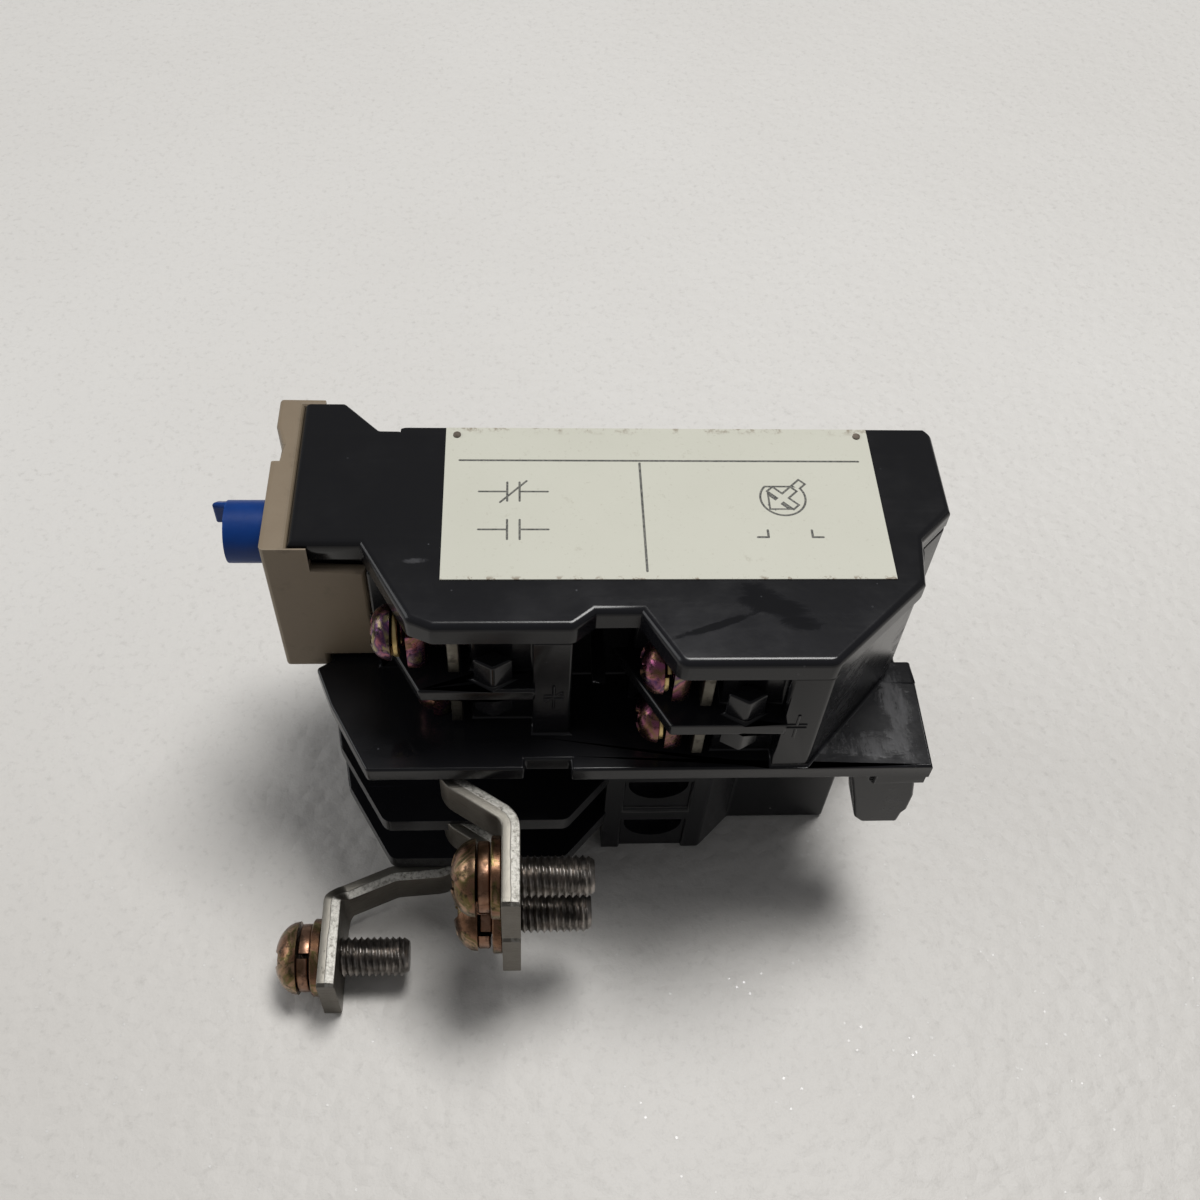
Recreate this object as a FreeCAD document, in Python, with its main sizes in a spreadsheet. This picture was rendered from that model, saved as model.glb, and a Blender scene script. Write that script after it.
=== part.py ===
import FreeCAD, Part
import math
import os
import Sketcher

# Three-pole thermal overload relay, lying on its side with the rating plate up.
# Relay axes: X runs from the front edge of the side cover to the back, Y runs from
# the line side (bus bars, negative) to the load side, Z runs up through the width.
# Every piece is drawn in these axes; the bodies' placement then moves the middle of
# the whole relay's footprint to the origin.

doc = FreeCAD.newDocument("OverloadRelay")
sheet = doc.addObject("Spreadsheet::Sheet", "Sizes")

sizes = {
    # case, seen from the side cover
    "caseDepth": 75.0,          # front edge of the side cover to the rear cover
    "coverThick": 3.0,
    "wall": 2.4,
    "noseWidth": 3.8,           # the nose that stands out towards the load side
    "noseFlat": 5.0,
    "noseSlope": 4.2,
    "boxSide": 0.6,             # case side, inside the side cover's edge
    "nearNose": 17.6,           # line-side edge beside the front cover
    "leftRim": 29.0,            # line-side rim over the first contact column
    "columnStep": 4.7,          # second column stands this much further out
    "columnPitch": 27.9,
    "cellFront": 7.9,           # where the first terminal cell starts
    "cellRake": 0.55,           # slope of the cells' front edges, run over rise
    "ribStart": 27.0,           # rib between the columns, with the contact symbol
    "ribWide": 4.3,
    "gapMouth": 7.2,            # open gap between the columns
    "gapFloor": 27.0,
    "rearShoulder": 12.7,
    "rearJog": 16.8,
    "rearWaist": 23.0,
    "rearJogStep": 1.0,
    "rearCornerReach": 2.6,
    "rearCornerStep": 2.5,
    "rearRake": 0.8,
    "boxInset": 0.4,
    "ribRoot": 2.6,
    "gapRoot": 3.7,
    "bayBack": 2.0,
    "ledgeStart": 2.3,
    "ledgeWide": 1.6,
    "ledgeFront": 1.0,
    "ledgeBack": 3.0,
    "ledgeDrop": 1.5,
    "ledgeThick": 0.8,
    "edgeRound": 0.9,
    "cornerRound": 1.5,
    # levels through the width
    "lowCell": 8.1,
    "phasePitch": 10.3,
    "barrier": 2.4,
    "topCellExtra": 2.3,
    "deck": 2.5,
    "auxCell": 8.25,
    "shelf": 2.0,
    # deck and barriers
    "deckRim": 33.8,
    "deckFront": 0.8,
    "deckWaist": 19.5,
    "flangeSide": 34.0,
    "flangeInset": 0.8,
    "flangeBack": 18.6,
    "flangeLip": 1.7,
    "flangeStep": 3.5,
    "notchStart": 26.0,
    "notchWide": 5.4,
    "notchDeep": 1.3,
    "barrierFront": 1.4,
    "barrierNick": 1.1,
    "barrierBackInset": 0.6,
    "deckInset": 1.5,
    "deckShoulder": 2.0,
    "barrierWaist": 22.8,
    "barrierCorner": 8.8,
    "barrierEnd": 31.2,
    "barrierSlope": 5.6,
    "loadReach": 14.0,
    "loadWaist": 4.5,
    "loadEnd": 38.3,
    "loadSlope": 4.8,
    # body behind the cells
    "cellBack": 16.8,
    "blockFront": 36.6,
    "blockSide": 27.5,
    "blockEnd": 50.1,
    "blockChamfer": 4.6,
    "rearSide": 22.9,
    "rearBlockInset": 6.6,
    "loadBlockFront": 24.5,
    "loadBlockSide": 13.2,
    "poleRecess": 3.9,
    "poleSill": 2.7,
    "poleMiddle": 43.4,
    "poleDeep": 2.5,
    "faceRelief": 0.6,
    "reliefHalf": 4.3,
    "rearCoverThick": 3.0,
    # heater chambers
    "chamberFront": 14.5,
    "chamberNear": 15.2,
    "chamberFar": 2.2,
    "chamberFloor": 1.6,
    # mechanism chamber
    "mechNear": 14.7,
    "mechFar": 2.1,
    "mechFront": 3.4,
    "noseWall": 1.9,
    "noseInset": 0.6,
    "mechBackInset": 4.8,
    "fit": 0.3,                 # clearance between pieces that don't touch
    "seam": 0.2,                # step where one moulding stands inside another's edge
    "slotFit": 0.1,
    "tipBevel": 0.5,
    "runFit": 0.05,             # radial clearance of a running fit
    # rear hook under the flange
    "hookInset": 10.4,
    "hookSide": 0.8,
    "flangeLipStart": 3.1,
    "flangeLipExtra": 2.0,
    "flangeStepLong": 4.0,
    "flangeStepDeep": 0.5,
    "hookWide": 8.8,
    "hookDrop": 13.0,
    "hookDeep": 5.0,
    # auxiliary terminals
    "auxPlateX": 17.5,
    "auxPlateThick": 1.3,
    "auxPlateReach": 27.7,
    "auxEdge": 3.3,             # screw axis in from the plate's outer end
    "auxPlateTall": 6.6,
    "auxBlockGap": 1.1,
    "auxBlockSide": 26.7,
    "slotBack": 3.1,
    "rivetMargin": 1.2,
    "stripHalf": 1.5,
    "leadWedgeX": 22.5,
    "leadWedgeSide": 28.1,
    "leadWedgeHalf": 2.35,
    "leadWedgeDeep": 1.35,
    "leadWedgeTall": 4.1,
    "auxScrewRadius": 1.75,
    "auxHeadRadius": 3.2,
    "auxHeadTall": 2.4,
    "auxScrewLength": 9.2,
    "auxWasherSide": 6.2,
    "auxWasherThick": 1.0,
    "auxSpringThick": 0.9,
    "auxSpringRadius": 2.8,
    "shelfProud": 0.7,
    # bus bars
    "barThick": 2.2,
    "barTall": 5.4,
    "barRootX": 16.9,
    "barInner": 7.4,
    "barBend": 33.0,
    "tabX": 24.4,
    "tabBend": 38.1,
    "tabEnd": 49.1,
    "tabTall": 9.8,
    "tabPitch": 10.15,
    "tabLift": 0.15,
    "tabCorner": 0.4,
    "tabHoleY": 43.5,
    "lastTabX": 1.6,
    "lastKneeX": 9.0,
    "lastKneeY": 34.5,
    "kneeStep": 0.6,
    "tabLap": 2.0,
    "tabShoulder": 0.5,
    "tabRun": 1.5,
    "lastTabBend": 37.7,
    "lastTabEnd": 50.3,
    "busScrewRadius": 2.5,
    "busHeadRadius": 4.5,
    "busHeadTall": 3.0,
    "busScrewLength": 13.8,
    "busNeckRadius": 2.1,       # reduced shank that holds the washers captive
    "busSpringThick": 1.8,
    "busSpringRadius": 4.2,
    "busWasherThick": 1.2,
    "busWasherRadius": 4.8,
    # load terminals
    "loadPlateX": 23.0,
    "loadPlateThick": 1.2,
    "loadPlateTall": 6.0,
    "loadPlateInner": 6.2,
    "loadPlateOuter": 12.4,
    "loadAxis": 7.8,
    "loadScrewRadius": 2.0,
    "loadHeadRadius": 3.4,
    "loadHeadTall": 2.6,
    "loadScrewLength": 10.0,
    "loadWasherSide": 6.8,
    "loadWasherThick": 1.0,
    # heaters and bimetals
    "bimetalY": 9.0,
    "bimetalThick": 0.8,
    "bimetalTall": 3.6,
    "bimetalLap": 1.3,          # how far a strip's tip reaches into the transfer bar
    "bimetalRoot": 0.7,         # rolled bead that the strip bends about
    "sleeveStart": 27.0,
    "sleeveBare": 1.0,
    "leadThick": 0.6,
    "loadLeadThick": 0.8,
    "leadHalf": 1.5,
    "sleeveLength": 20.4,
    "sleeveHalf": 2.6,
    "sleeveWall": 0.35,
    "turnThick": 0.35,
    "turnWide": 1.2,
    "turnPitch": 2.4,
    "turnCount": 8,
    # transfer bar
    "transferInset": 12.0,
    "wellGap": 0.5,
    "notchWall": 0.8,
    "transferWide": 3.0,
    "transferNear": 12.2,
    "transferFar": 6.9,
    "transferTravel": 2.0,
    "transferNotch": 1.9,
    # front cover
    "coverProud": 3.1,
    "coverWall": 1.4,
    "coverNear": 18.1,
    "coverFar": 5.3,
    "coverDrop": 0.5,
    "cheekReach": 8.2,
    "cheekNotch": 2.1,
    "cheekTop": 3.9,
    "cheekLip": 2.3,
    "farCheek": 2.4,
    "windowNear": 4.9,
    "windowFar": 0.9,
    "windowSlope": 3.1,
    "windowDeep": 1.0,
    "windowMargin": 4.0,
    # reset rod
    "rodY": 10.9,
    "rodLevel": 49.0,
    "rodRadius": 3.65,
    "rodProud": 4.9,
    "rodFlag": 1.5,
    "rodSlotHalf": 0.5,
    "rodSlotLong": 2.9,
    "rodSlotDeep": 1.2,
    "rodTravel": 2.5,
    "rodBack": 1.0,             # rear face of the head, inside the cover
    "rodNeck": 1.95,
    "rodNeckEnd": 14.0,
    "rodPin": 1.2,
    "rodPinEnd": 17.0,
    "guideX": 6.5,
    "guideThick": 2.0,
    "guideDrop": 4.5,
    "guideFar": 3.8,
    "sliderEnd": 20.0,
    "sliderHalf": 1.7,
    "sliderTall": 2.3,
    "springRadius": 2.5,
    "springWire": 0.25,
    "springTurns": 2.5,
    "springPitch": 0.7,
    # setting dial
    "dialY": 10.5,
    "dialLevel": 38.8,
    "dialRadius": 4.2,
    "dialThick": 2.0,
    "dialSunk": 0.2,
    "dialSlotHalf": 0.5,
    "dialSlotLong": 2.6,
    "dialSlotDeep": 1.0,
    "dialShaft": 1.8,
    "dialShaftEnd": 10.0,
    "camRadius": 2.2,
    "camThrow": 0.45,
    "camThick": 2.0,
    # levers
    "adjustLow": 35.0,
    "adjustTall": 4.5,
    "adjustNoseTall": 3.0,
    "smallPinStart": 1.0,
    "smallPinProud": 0.5,
    "adjustY": 5.4,
    "leverThick": 1.2,
    "adjustStart": 10.0,
    "adjustPinX": 28.0,
    "compPinX": 52.0,
    "pinRadius": 1.0,
    "smallPin": 0.8,
    "compLow": 40.0,
    "compTall": 3.5,
    "compRearGap": 1.0,
    "compTipX": 43.5,
    "compTipDrop": 1.2,
    "tripPinX": 35.0,
    "tripY": 10.8,
    "tripLow": 44.0,
    "tripTall": 4.0,
    "tripThick": 1.6,
    "tripPadHalf": 1.0,
    "tripPadLow": 2.7,
    "heelStep": 0.5,
    "bladeFoot": 0.6,
    "bladeHead": 0.1,
    "tripReach": 11.0,
    "bladeThick": 0.8,
    "bladeWide": 2.0,
    "fixedRun": 14.0,           # face of the fixed contacts' strips
    "closedFace": 12.8,
    "openFace": 13.75,
    "fixedThick": 0.6,
    "rivetRadius": 1.0,
    # test rod
    "testY": 3.6,
    "testLevel": 44.0,
    "testRadius": 1.2,
    "testProud": 0.6,
    "testEnd": 12.0,
    # rating plate and its rivets
    "labelStart": 16.9,
    "labelLength": 50.0,
    "labelWidth": 22.7,
    "labelThick": 0.35,
    "labelSunk": 0.2,
    "labelRivet": 0.45,
    "labelRivetInset": 1.3,
    "labelEdge": 0.1,
    "rivetHoleDeep": 0.8,
    "rivetLong": 0.7,
    "rivetProud": 0.15,
    # case screws
    "caseScrewRadius": 1.45,
    "caseScrewHead": 2.8,
    "caseScrewHeadTall": 2.0,
    "caseScrewX": 8.0,
    "caseScrewY": 8.6,
    "rearScrewInset": 13.0,
    "rearScrewY": 19.2,
    "bossTall": 1.2,
    "screwCover": 0.6,
    "bossRadius": 2.4,
    "pivotBoss": 2.2,
    "pinSunk": 1.5,
    "tripPinProud": 0.4,
    # side cover's outline
    "rimOneStart": 16.1,
    "rimOneSlope": 2.7,
    "rimOneDrop": 1.2,
    "rimTwoStart": 42.3,
    "gapSlope": 2.4,
    "lipStart": 11.3,
    "lipStep": 0.4,
    "rearStep": 1.1,
    "lipRun": 0.6,
    "rearCoverFloor": 0.5,
    # small moulded details
    "fingerReach": 3.0,
    "fingerFar": 7.05,
    "fingerThick": 1.15,
    "fingerTall": 2.7,
    "fingerDrop": 0.1,
    "fingerLap": 1.0,
    "barFloor": 2.2,
    "barTopLevel": 43.2,
    "adjustNose": 8.0,          # how near the adjusting lever's nose comes to the cam
    "adjustEnd": 54.0,
    "eyeRadius": 1.9,
    "compThick": 0.8,
    "compTipWide": 1.2,
    "heelFar": 9.4,
    "heelWide": 2.0,
    "tripTop": 50.0,
    "snapX": 36.2,
    "snapLift": 3.4,
    "snapLow": 0.5,
    "snapTall": 3.0,
    "snapSlot": 0.5,
    "postHalf": 0.8,
    "postThick": 2.0,
    "snapRadius": 1.3,
    "snapThick": 0.35,
    "collarRadius": 1.5,
    "collarGap": 0.4,
    "collarThick": 1.0,
    "coverFoot": 0.9,           # front cover's lower edge above the deck's underside
    # auxiliary screws left backed out
    "looseFirst": 4.3,
    "looseSecond": 2.2,
    "looseThird": 2.4,
    "looseWasher": 2.3,
}

for row, (word, value) in enumerate(sizes.items(), start=1):
    sheet.set(f"A{row}", word)
    sheet.set(f"B{row}", str(value))
    sheet.setAlias(f"B{row}", word)
doc.recompute()


class Size:
    # A length together with the sheet expression that gives it, so that every sum
    # of sizes written below reaches the model as an expression.
    def __init__(self, value, words):
        self.value = float(value)
        self.words = words

    def join(self, other, sign, result):
        return Size(result, f"({self.words} {sign} {sized(other).words})")

    def __add__(self, other):
        return self.join(other, "+", self.value + sized(other).value)

    def __sub__(self, other):
        return self.join(other, "-", self.value - sized(other).value)

    def __mul__(self, other):
        return self.join(other, "*", self.value * sized(other).value)

    def __truediv__(self, other):
        return self.join(other, "/", self.value / sized(other).value)

    def __radd__(self, other):
        return sized(other) + self

    def __rsub__(self, other):
        return sized(other) - self

    def __rmul__(self, other):
        return sized(other) * self

    def __neg__(self):
        return Size(-self.value, f"(0 - {self.words})")


def sized(number):
    if isinstance(number, Size):
        return number
    return Size(number, f"({number})")


def smaller(first, second):
    return Size(min(first.value, second.value), f"min({first.words}; {second.words})")


class Sheet:
    pass


s = Sheet()
for word in sizes:
    setattr(s, word, Size(sheet.get(word), f"Sizes.{word}"))


# ---- levels and stations that several pieces share ----

barrierLow = [s.lowCell, s.lowCell + s.phasePitch]
cellLow = [sized(0), barrierLow[0] + s.barrier, barrierLow[1] + s.barrier]
deckLow = s.lowCell + 2 * s.phasePitch + s.topCellExtra
deckTop = deckLow + s.deck
cellHigh = [barrierLow[0], barrierLow[1], deckLow]
shelfLow = deckTop + s.auxCell
shelfTop = shelfLow + s.shelf
coverLow = shelfTop + s.auxCell
coverTop = coverLow + s.coverThick
auxLevel = [deckTop + s.auxCell / 2, shelfTop + s.auxCell / 2]
rightRim = s.leftRim + s.columnStep
ribEnd = s.ribStart + s.ribWide
secondRib = s.ribStart + s.columnPitch
secondRibEnd = secondRib + s.ribWide
secondStart = ribEnd + s.gapMouth
nose = s.noseFlat + s.noseSlope

tabLow = [s.tabLift + i * s.tabPitch for i in range(3)]
tabHigh = [low + s.tabTall for low in tabLow]
barTop = [smaller(tabHigh[i], cellHigh[i] - s.fit) for i in range(3)]
barLow = [top - s.barTall for top in barTop]
barMiddle = [top - s.barTall / 2 for top in barTop]
loadLevel = [(cellLow[i] + cellHigh[i]) / 2 for i in range(3)]
tabMiddle = [low + s.tabTall / 2 for low in tabLow]

coverFront = s.caseDepth - s.rearCoverThick
flangeEnd = s.caseDepth - s.flangeInset
rearBlockEnd = s.caseDepth - s.rearBlockInset
rearCorner = rearBlockEnd + s.rearCornerReach
hookStart = s.caseDepth - s.hookInset
transferX = s.caseDepth - s.transferInset
auxAxis = s.auxPlateReach - s.auxEdge
snapY = s.tripY - s.snapLift

frontReach = s.coverProud + s.rodProud + s.rodFlag
shiftX = (frontReach - s.caseDepth) / 2
shiftY = (s.lastTabEnd - s.loadReach) / 2

caseScrews = [(s.caseScrewX, -s.caseScrewY), (s.caseDepth - s.rearScrewInset, -s.rearScrewY)]
pivots = [(s.adjustPinX, -s.adjustY, s.adjustLow - s.fit), (s.tripPinX, -s.tripY, s.tripLow - s.fit)]

pieces = []


def transferWell():
    gap = s.wellGap
    return box(transferX - gap, -s.transferNear - gap,
               transferX + s.transferWide + gap, -s.transferFar + s.transferTravel + gap)


def circle(u, v, radius):
    return ("circle", sized(u), sized(v), sized(radius))


def arch(middle, sill, radius, top):
    # Straight-sided opening with a half-round bottom.
    return ("arch", sized(middle), sized(sill), sized(radius), sized(top))


def box(u1, v1, u2, v2):
    return [(u1, v1), (u2, v1), (u2, v2), (u1, v2)]


class Piece:
    # One loose piece of the relay: a PartDesign body and the ways to shape it.
    # Outlines are lists of corners; low and high are the two ends of a pad or cut.
    def __init__(self, label):
        self.body = doc.addObject("PartDesign::Body", label)
        self.body.Label = label
        self.body.setExpression("Placement.Base.x", shiftX.words)
        self.body.setExpression("Placement.Base.y", shiftY.words)
        self.cuts = []
        pieces.append(self)

    def plane(self, role):
        return next(o for o in self.body.Origin.OriginFeatures if o.Role == role)

    def sketch(self, role, outlines, away, start=(0, 0)):
        sketch = self.body.newObject("Sketcher::SketchObject", "Outline")
        sketch.AttachmentSupport = [(self.plane(role), "")]
        sketch.MapMode = "FlatFace"
        for axis, offset in zip("xyz", (start[0], start[1], away)):
            if isinstance(offset, Size) or offset:
                sketch.setExpression(f"AttachmentOffset.Base.{axis}", sized(offset).words)
        for outline in outlines:
            if outline[0] == "circle":
                self.drawCircle(sketch, *outline[1:])
            elif outline[0] == "arch":
                self.drawArch(sketch, *outline[1:])
            else:
                self.drawPolygon(sketch, outline)
        return sketch

    def pin(self, sketch, kind, item, place, size):
        row = sketch.addConstraint(Sketcher.Constraint(kind, -1, 1, item, place, size.value))
        sketch.setExpression(f"Constraints[{row}]", size.words)

    def drawPolygon(self, sketch, outline):
        corners = [(sized(u), sized(v)) for u, v in outline]
        points = [FreeCAD.Vector(u.value, v.value, 0) for u, v in corners]
        count = len(points)
        first = sketch.GeometryCount
        for i in range(count):
            sketch.addGeometry(Part.LineSegment(points[i], points[(i + 1) % count]))
        for i in range(count):
            sketch.addConstraint(Sketcher.Constraint(
                "Coincident", first + i, 2, first + (i + 1) % count, 1))
        for i, (u, v) in enumerate(corners):
            self.pin(sketch, "DistanceX", first + i, 1, u)
            self.pin(sketch, "DistanceY", first + i, 1, v)

    def drawArch(self, sketch, u, v, radius, top):
        left, right = u - radius, u + radius
        corners = [(right, v), (right, top), (left, top), (left, v)]
        first = sketch.GeometryCount
        points = [FreeCAD.Vector(a.value, b.value, 0) for a, b in corners]
        for i in range(3):
            sketch.addGeometry(Part.LineSegment(points[i], points[i + 1]))
        centre = FreeCAD.Vector(u.value, v.value, 0)
        ring = Part.Circle(centre, FreeCAD.Vector(0, 0, 1), radius.value)
        sketch.addGeometry(Part.ArcOfCircle(ring, math.pi, 2 * math.pi))
        for i in range(2):
            sketch.addConstraint(Sketcher.Constraint("Coincident", first + i, 2, first + i + 1, 1))
        sketch.addConstraint(Sketcher.Constraint("Coincident", first + 3, 1, first + 2, 2))
        sketch.addConstraint(Sketcher.Constraint("Coincident", first + 3, 2, first, 1))
        for i, (a, b) in enumerate(corners[:3]):
            self.pin(sketch, "DistanceX", first + i, 1, a)
            self.pin(sketch, "DistanceY", first + i, 1, b)
        self.pin(sketch, "DistanceX", first + 2, 2, left)
        self.pin(sketch, "DistanceY", first + 2, 2, v)
        self.pin(sketch, "DistanceY", first + 3, 3, v)

    def drawCircle(self, sketch, u, v, radius):
        centre = FreeCAD.Vector(u.value, v.value, 0)
        item = sketch.addGeometry(Part.Circle(centre, FreeCAD.Vector(0, 0, 1), radius.value))
        row = sketch.addConstraint(Sketcher.Constraint("Radius", item, radius.value))
        sketch.setExpression(f"Constraints[{row}]", radius.words)
        self.pin(sketch, "DistanceX", item, 3, u)
        self.pin(sketch, "DistanceY", item, 3, v)

    def feature(self, kind, sketch, length):
        feature = self.body.newObject(f"PartDesign::{kind}", kind)
        feature.Profile = sketch
        feature.setExpression("Length", length.words)
        sketch.Visibility = False
        if kind == "Pocket":
            self.cuts.append(feature)
        return feature

    # Pads grow along the sketch normal, pockets against it; the XZ plane faces -Y.
    def padZ(self, outlines, low, high):
        return self.feature("Pad", self.sketch("XY_Plane", outlines, low), sized(high) - low)

    def cutZ(self, outlines, low, high):
        return self.feature("Pocket", self.sketch("XY_Plane", outlines, high), sized(high) - low)

    def padX(self, outlines, low, high):
        return self.feature("Pad", self.sketch("YZ_Plane", outlines, low), sized(high) - low)

    def cutX(self, outlines, low, high):
        return self.feature("Pocket", self.sketch("YZ_Plane", outlines, high), sized(high) - low)

    def padY(self, outlines, low, high):
        return self.feature("Pad", self.sketch("XZ_Plane", outlines, -sized(high)), sized(high) - low)

    def cutY(self, outlines, low, high):
        return self.feature("Pocket", self.sketch("XZ_Plane", outlines, -sized(low)), sized(high) - low)

    # A profile drawn beside its own X axis and turned round it, started at x, y, z.
    def turned(self, profile, x, y, z):
        sketch = self.sketch("XZ_Plane", [profile], -sized(y), (x, z))
        turn = self.body.newObject("PartDesign::Revolution", "Turned")
        turn.Profile = sketch
        turn.ReferenceAxis = (sketch, ["H_Axis"])
        turn.Angle = 360
        sketch.Visibility = False
        return turn

    # The same feature repeated along one of the body's own axes.
    def repeated(self, feature, axis, pitch, count):
        pattern = self.body.newObject("PartDesign::LinearPattern", "Repeated")
        pattern.Originals = [feature]
        pattern.Direction = (self.plane(axis), [""])
        pattern.Mode = "Spacing"
        pattern.setExpression("Offset", sized(pitch).words)
        pattern.setExpression("Occurrences", sized(count).words)
        self.body.Tip = pattern
        return pattern

    # Rounds or bevels every edge that the test accepts.
    def dressed(self, kind, size, accepts):
        doc.recompute()
        base = self.body.Tip
        names = [f"Edge{i}" for i, edge in enumerate(base.Shape.Edges, start=1) if accepts(edge)]
        dress = self.body.newObject(f"PartDesign::{kind}", kind)
        dress.Base = (base, names)
        dress.setExpression("Radius" if kind == "Fillet" else "Size", sized(size).words)
        return dress

    def rounded(self, size, accepts):
        return self.dressed("Fillet", size, accepts)


def upright(*corners):
    # Accepts straight edges along Z that pass through one of the x, y corners.
    spots = [(sized(x).value, sized(y).value) for x, y in corners]

    def accepts(edge):
        box = edge.BoundBox
        if box.XLength > 0.01 or box.YLength > 0.01:
            return False
        return any(math.hypot(box.Center.x - x, box.Center.y - y) < 0.05 for x, y in spots)
    return accepts


def flat(level):
    # Accepts edges that lie wholly at one height.
    def accepts(edge):
        box = edge.BoundBox
        return box.ZLength < 0.01 and abs(box.Center.z - sized(level).value) < 0.01
    return accepts


# ---- lower moulding: three pole cells on the line side, three on the load side ----

def barrierOutline():
    # Barrier plate round the poles: raked corners at both sets of cells.
    back = s.blockEnd + s.blockChamfer - s.barrierBackInset
    return [
        (s.barrierFront, -s.boxSide), (s.barrierFront, -s.cellBack),
        (s.barrierFront + s.barrierNick, -s.barrierWaist), (s.barrierCorner, -s.deckRim),
        (s.barrierEnd, -s.deckRim), (s.barrierEnd + s.barrierSlope, -s.blockSide),
        (back - s.blockChamfer, -s.blockSide), (back, -s.rearSide),
        (back, -s.boxSide), (s.loadEnd, -s.boxSide),
        (s.loadEnd, s.loadReach - s.loadSlope), (s.loadEnd - s.loadSlope, s.loadReach),
        (s.barrierCorner, s.loadReach), (s.barrierFront + s.barrierNick, s.loadWaist)]


def makePowerCase():
    piece = Piece("power_case")
    chamberBack = coverFront
    piece.padZ([[
        (s.barrierFront, -s.cellBack), (s.blockFront, -s.cellBack), (s.blockFront, -s.blockSide),
        (s.blockEnd, -s.blockSide), (s.blockEnd + s.blockChamfer, -s.rearSide),
        (rearBlockEnd, -s.rearSide), (rearBlockEnd, -s.rearJog), (chamberBack, -s.rearJog + s.rearJogStep),
        (chamberBack, -s.boxSide), (s.loadEnd, -s.boxSide), (s.loadEnd, s.loadReach - s.loadSlope),
        (s.loadEnd - s.loadSlope, s.loadBlockSide), (s.loadBlockFront, s.loadBlockSide),
        (s.loadBlockFront, -s.boxSide), (s.barrierFront, -s.boxSide)]], 0, deckLow)
    for low in barrierLow:
        piece.padZ([barrierOutline()], low, low + s.barrier)
    for i in range(3):
        floor = cellLow[i] if i else s.chamberFloor
        piece.cutX([box(-s.chamberNear, floor, -s.chamberFar, cellHigh[i])],
                   s.chamberFront, chamberBack)
        # slot for the bus bar, slot for the load terminal
        half = s.barThick / 2 + s.fit
        piece.cutY([box(s.barRootX - half, barLow[i] - s.fit, s.barRootX + half, cellHigh[i])],
                   -s.cellBack, -s.chamberNear)
        tall = s.loadPlateTall / 2 + s.fit
        piece.cutY([box(s.loadPlateX - s.fit, loadLevel[i] - tall,
                        s.loadBlockFront, loadLevel[i] + tall)], -s.chamberFar, -s.boxSide)
        # room for the end of the load screw
        piece.cutX([circle(s.loadAxis, loadLevel[i], s.loadScrewRadius + s.fit)],
                   s.loadBlockFront, s.loadBlockFront + s.loadScrewLength)
        # shallow relief and round-bottomed recess in the line-side face of each pole
        piece.cutY([box(s.poleMiddle - s.reliefHalf, cellLow[i], s.poleMiddle + s.reliefHalf, cellHigh[i])],
                   -s.blockSide, -s.blockSide + s.faceRelief)
        sill = cellLow[i] + s.poleSill + s.poleRecess
        piece.cutY([arch(s.poleMiddle, sill, s.poleRecess, cellHigh[i])],
                   -s.blockSide, -s.blockSide + s.poleDeep)
    # groove in the floor for the lowest load terminal
    piece.cutZ([box(s.loadPlateX - s.fit, -s.loadPlateInner - s.fit,
                    s.loadPlateX + s.loadPlateThick + s.fit, -s.chamberFar)],
               loadLevel[0] - s.loadPlateTall / 2 - s.fit, s.chamberFloor)
    # well for the transfer bar, through all three chambers
    piece.cutZ([transferWell()], s.chamberFloor, deckLow)
    # through holes and counterbores for the case screws
    for x, y in caseScrews:
        piece.cutZ([circle(x, y, s.caseScrewRadius + s.runFit)], 0, deckLow)
        piece.cutZ([circle(x, y, s.caseScrewHead + s.fit)], 0, s.caseScrewHeadTall + s.fit)
    piece.rounded(s.cornerRound, upright((s.barrierCorner, -s.deckRim), (s.barrierEnd, -s.deckRim)))


# ---- upper moulding: deck, flange and hook, contact cells, mechanism box ----

def deckOutline():
    return [
        (s.cheekLip + s.fit, -s.coverNear - s.seam), (s.deckFront, -s.deckWaist),
        (s.barrierFront + s.deckInset, -s.barrierWaist - s.deckShoulder),
        (s.barrierCorner - s.barrierNick, -s.deckRim),
        (s.notchStart, -s.deckRim), (s.notchStart, -s.deckRim + s.notchDeep),
        (s.notchStart + s.notchWide, -s.deckRim + s.notchDeep),
        (s.notchStart + s.notchWide, -s.flangeSide), (flangeEnd, -s.flangeSide),
        (flangeEnd, -s.flangeBack), (coverFront, -s.flangeBack),
        (coverFront, -s.boxSide), (s.loadEnd, -s.boxSide),
        (s.loadEnd, s.loadReach - s.loadSlope), (s.loadEnd - s.loadSlope, s.loadReach),
        (s.barrierCorner, s.loadReach), (s.cheekLip + s.fit, s.coverFar + s.seam)]


def boxOutline():
    # Mechanism box with its two ribs; the terminal cells are the bays between them.
    root = s.cellBack + s.ribRoot
    return [
        (s.mechFront - s.wall, s.noseWidth - s.boxInset), (s.noseFlat, s.noseWidth - s.boxInset),
        (nose, -s.boxSide), (coverFront, -s.boxSide),
        (coverFront, -s.rearJog + s.boxInset),
        (rearCorner, -s.rearWaist + s.rearCornerStep), (secondRibEnd - s.seam, -rightRim),
        (secondRib, -rightRim), (secondRib, -root - s.columnStep),
        (secondStart, -root - s.columnStep), (secondStart, -s.cellBack - s.gapRoot),
        (ribEnd, -s.cellBack - s.gapRoot), (ribEnd, -s.leftRim), (s.ribStart, -s.leftRim),
        (s.ribStart, -root), (s.cheekReach + s.fit, -root),
        (s.cheekReach + s.fit, -s.coverNear + s.coverWall + s.fit),
        (s.mechFront - s.wall, -s.coverNear + s.coverWall + s.fit)]


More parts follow.
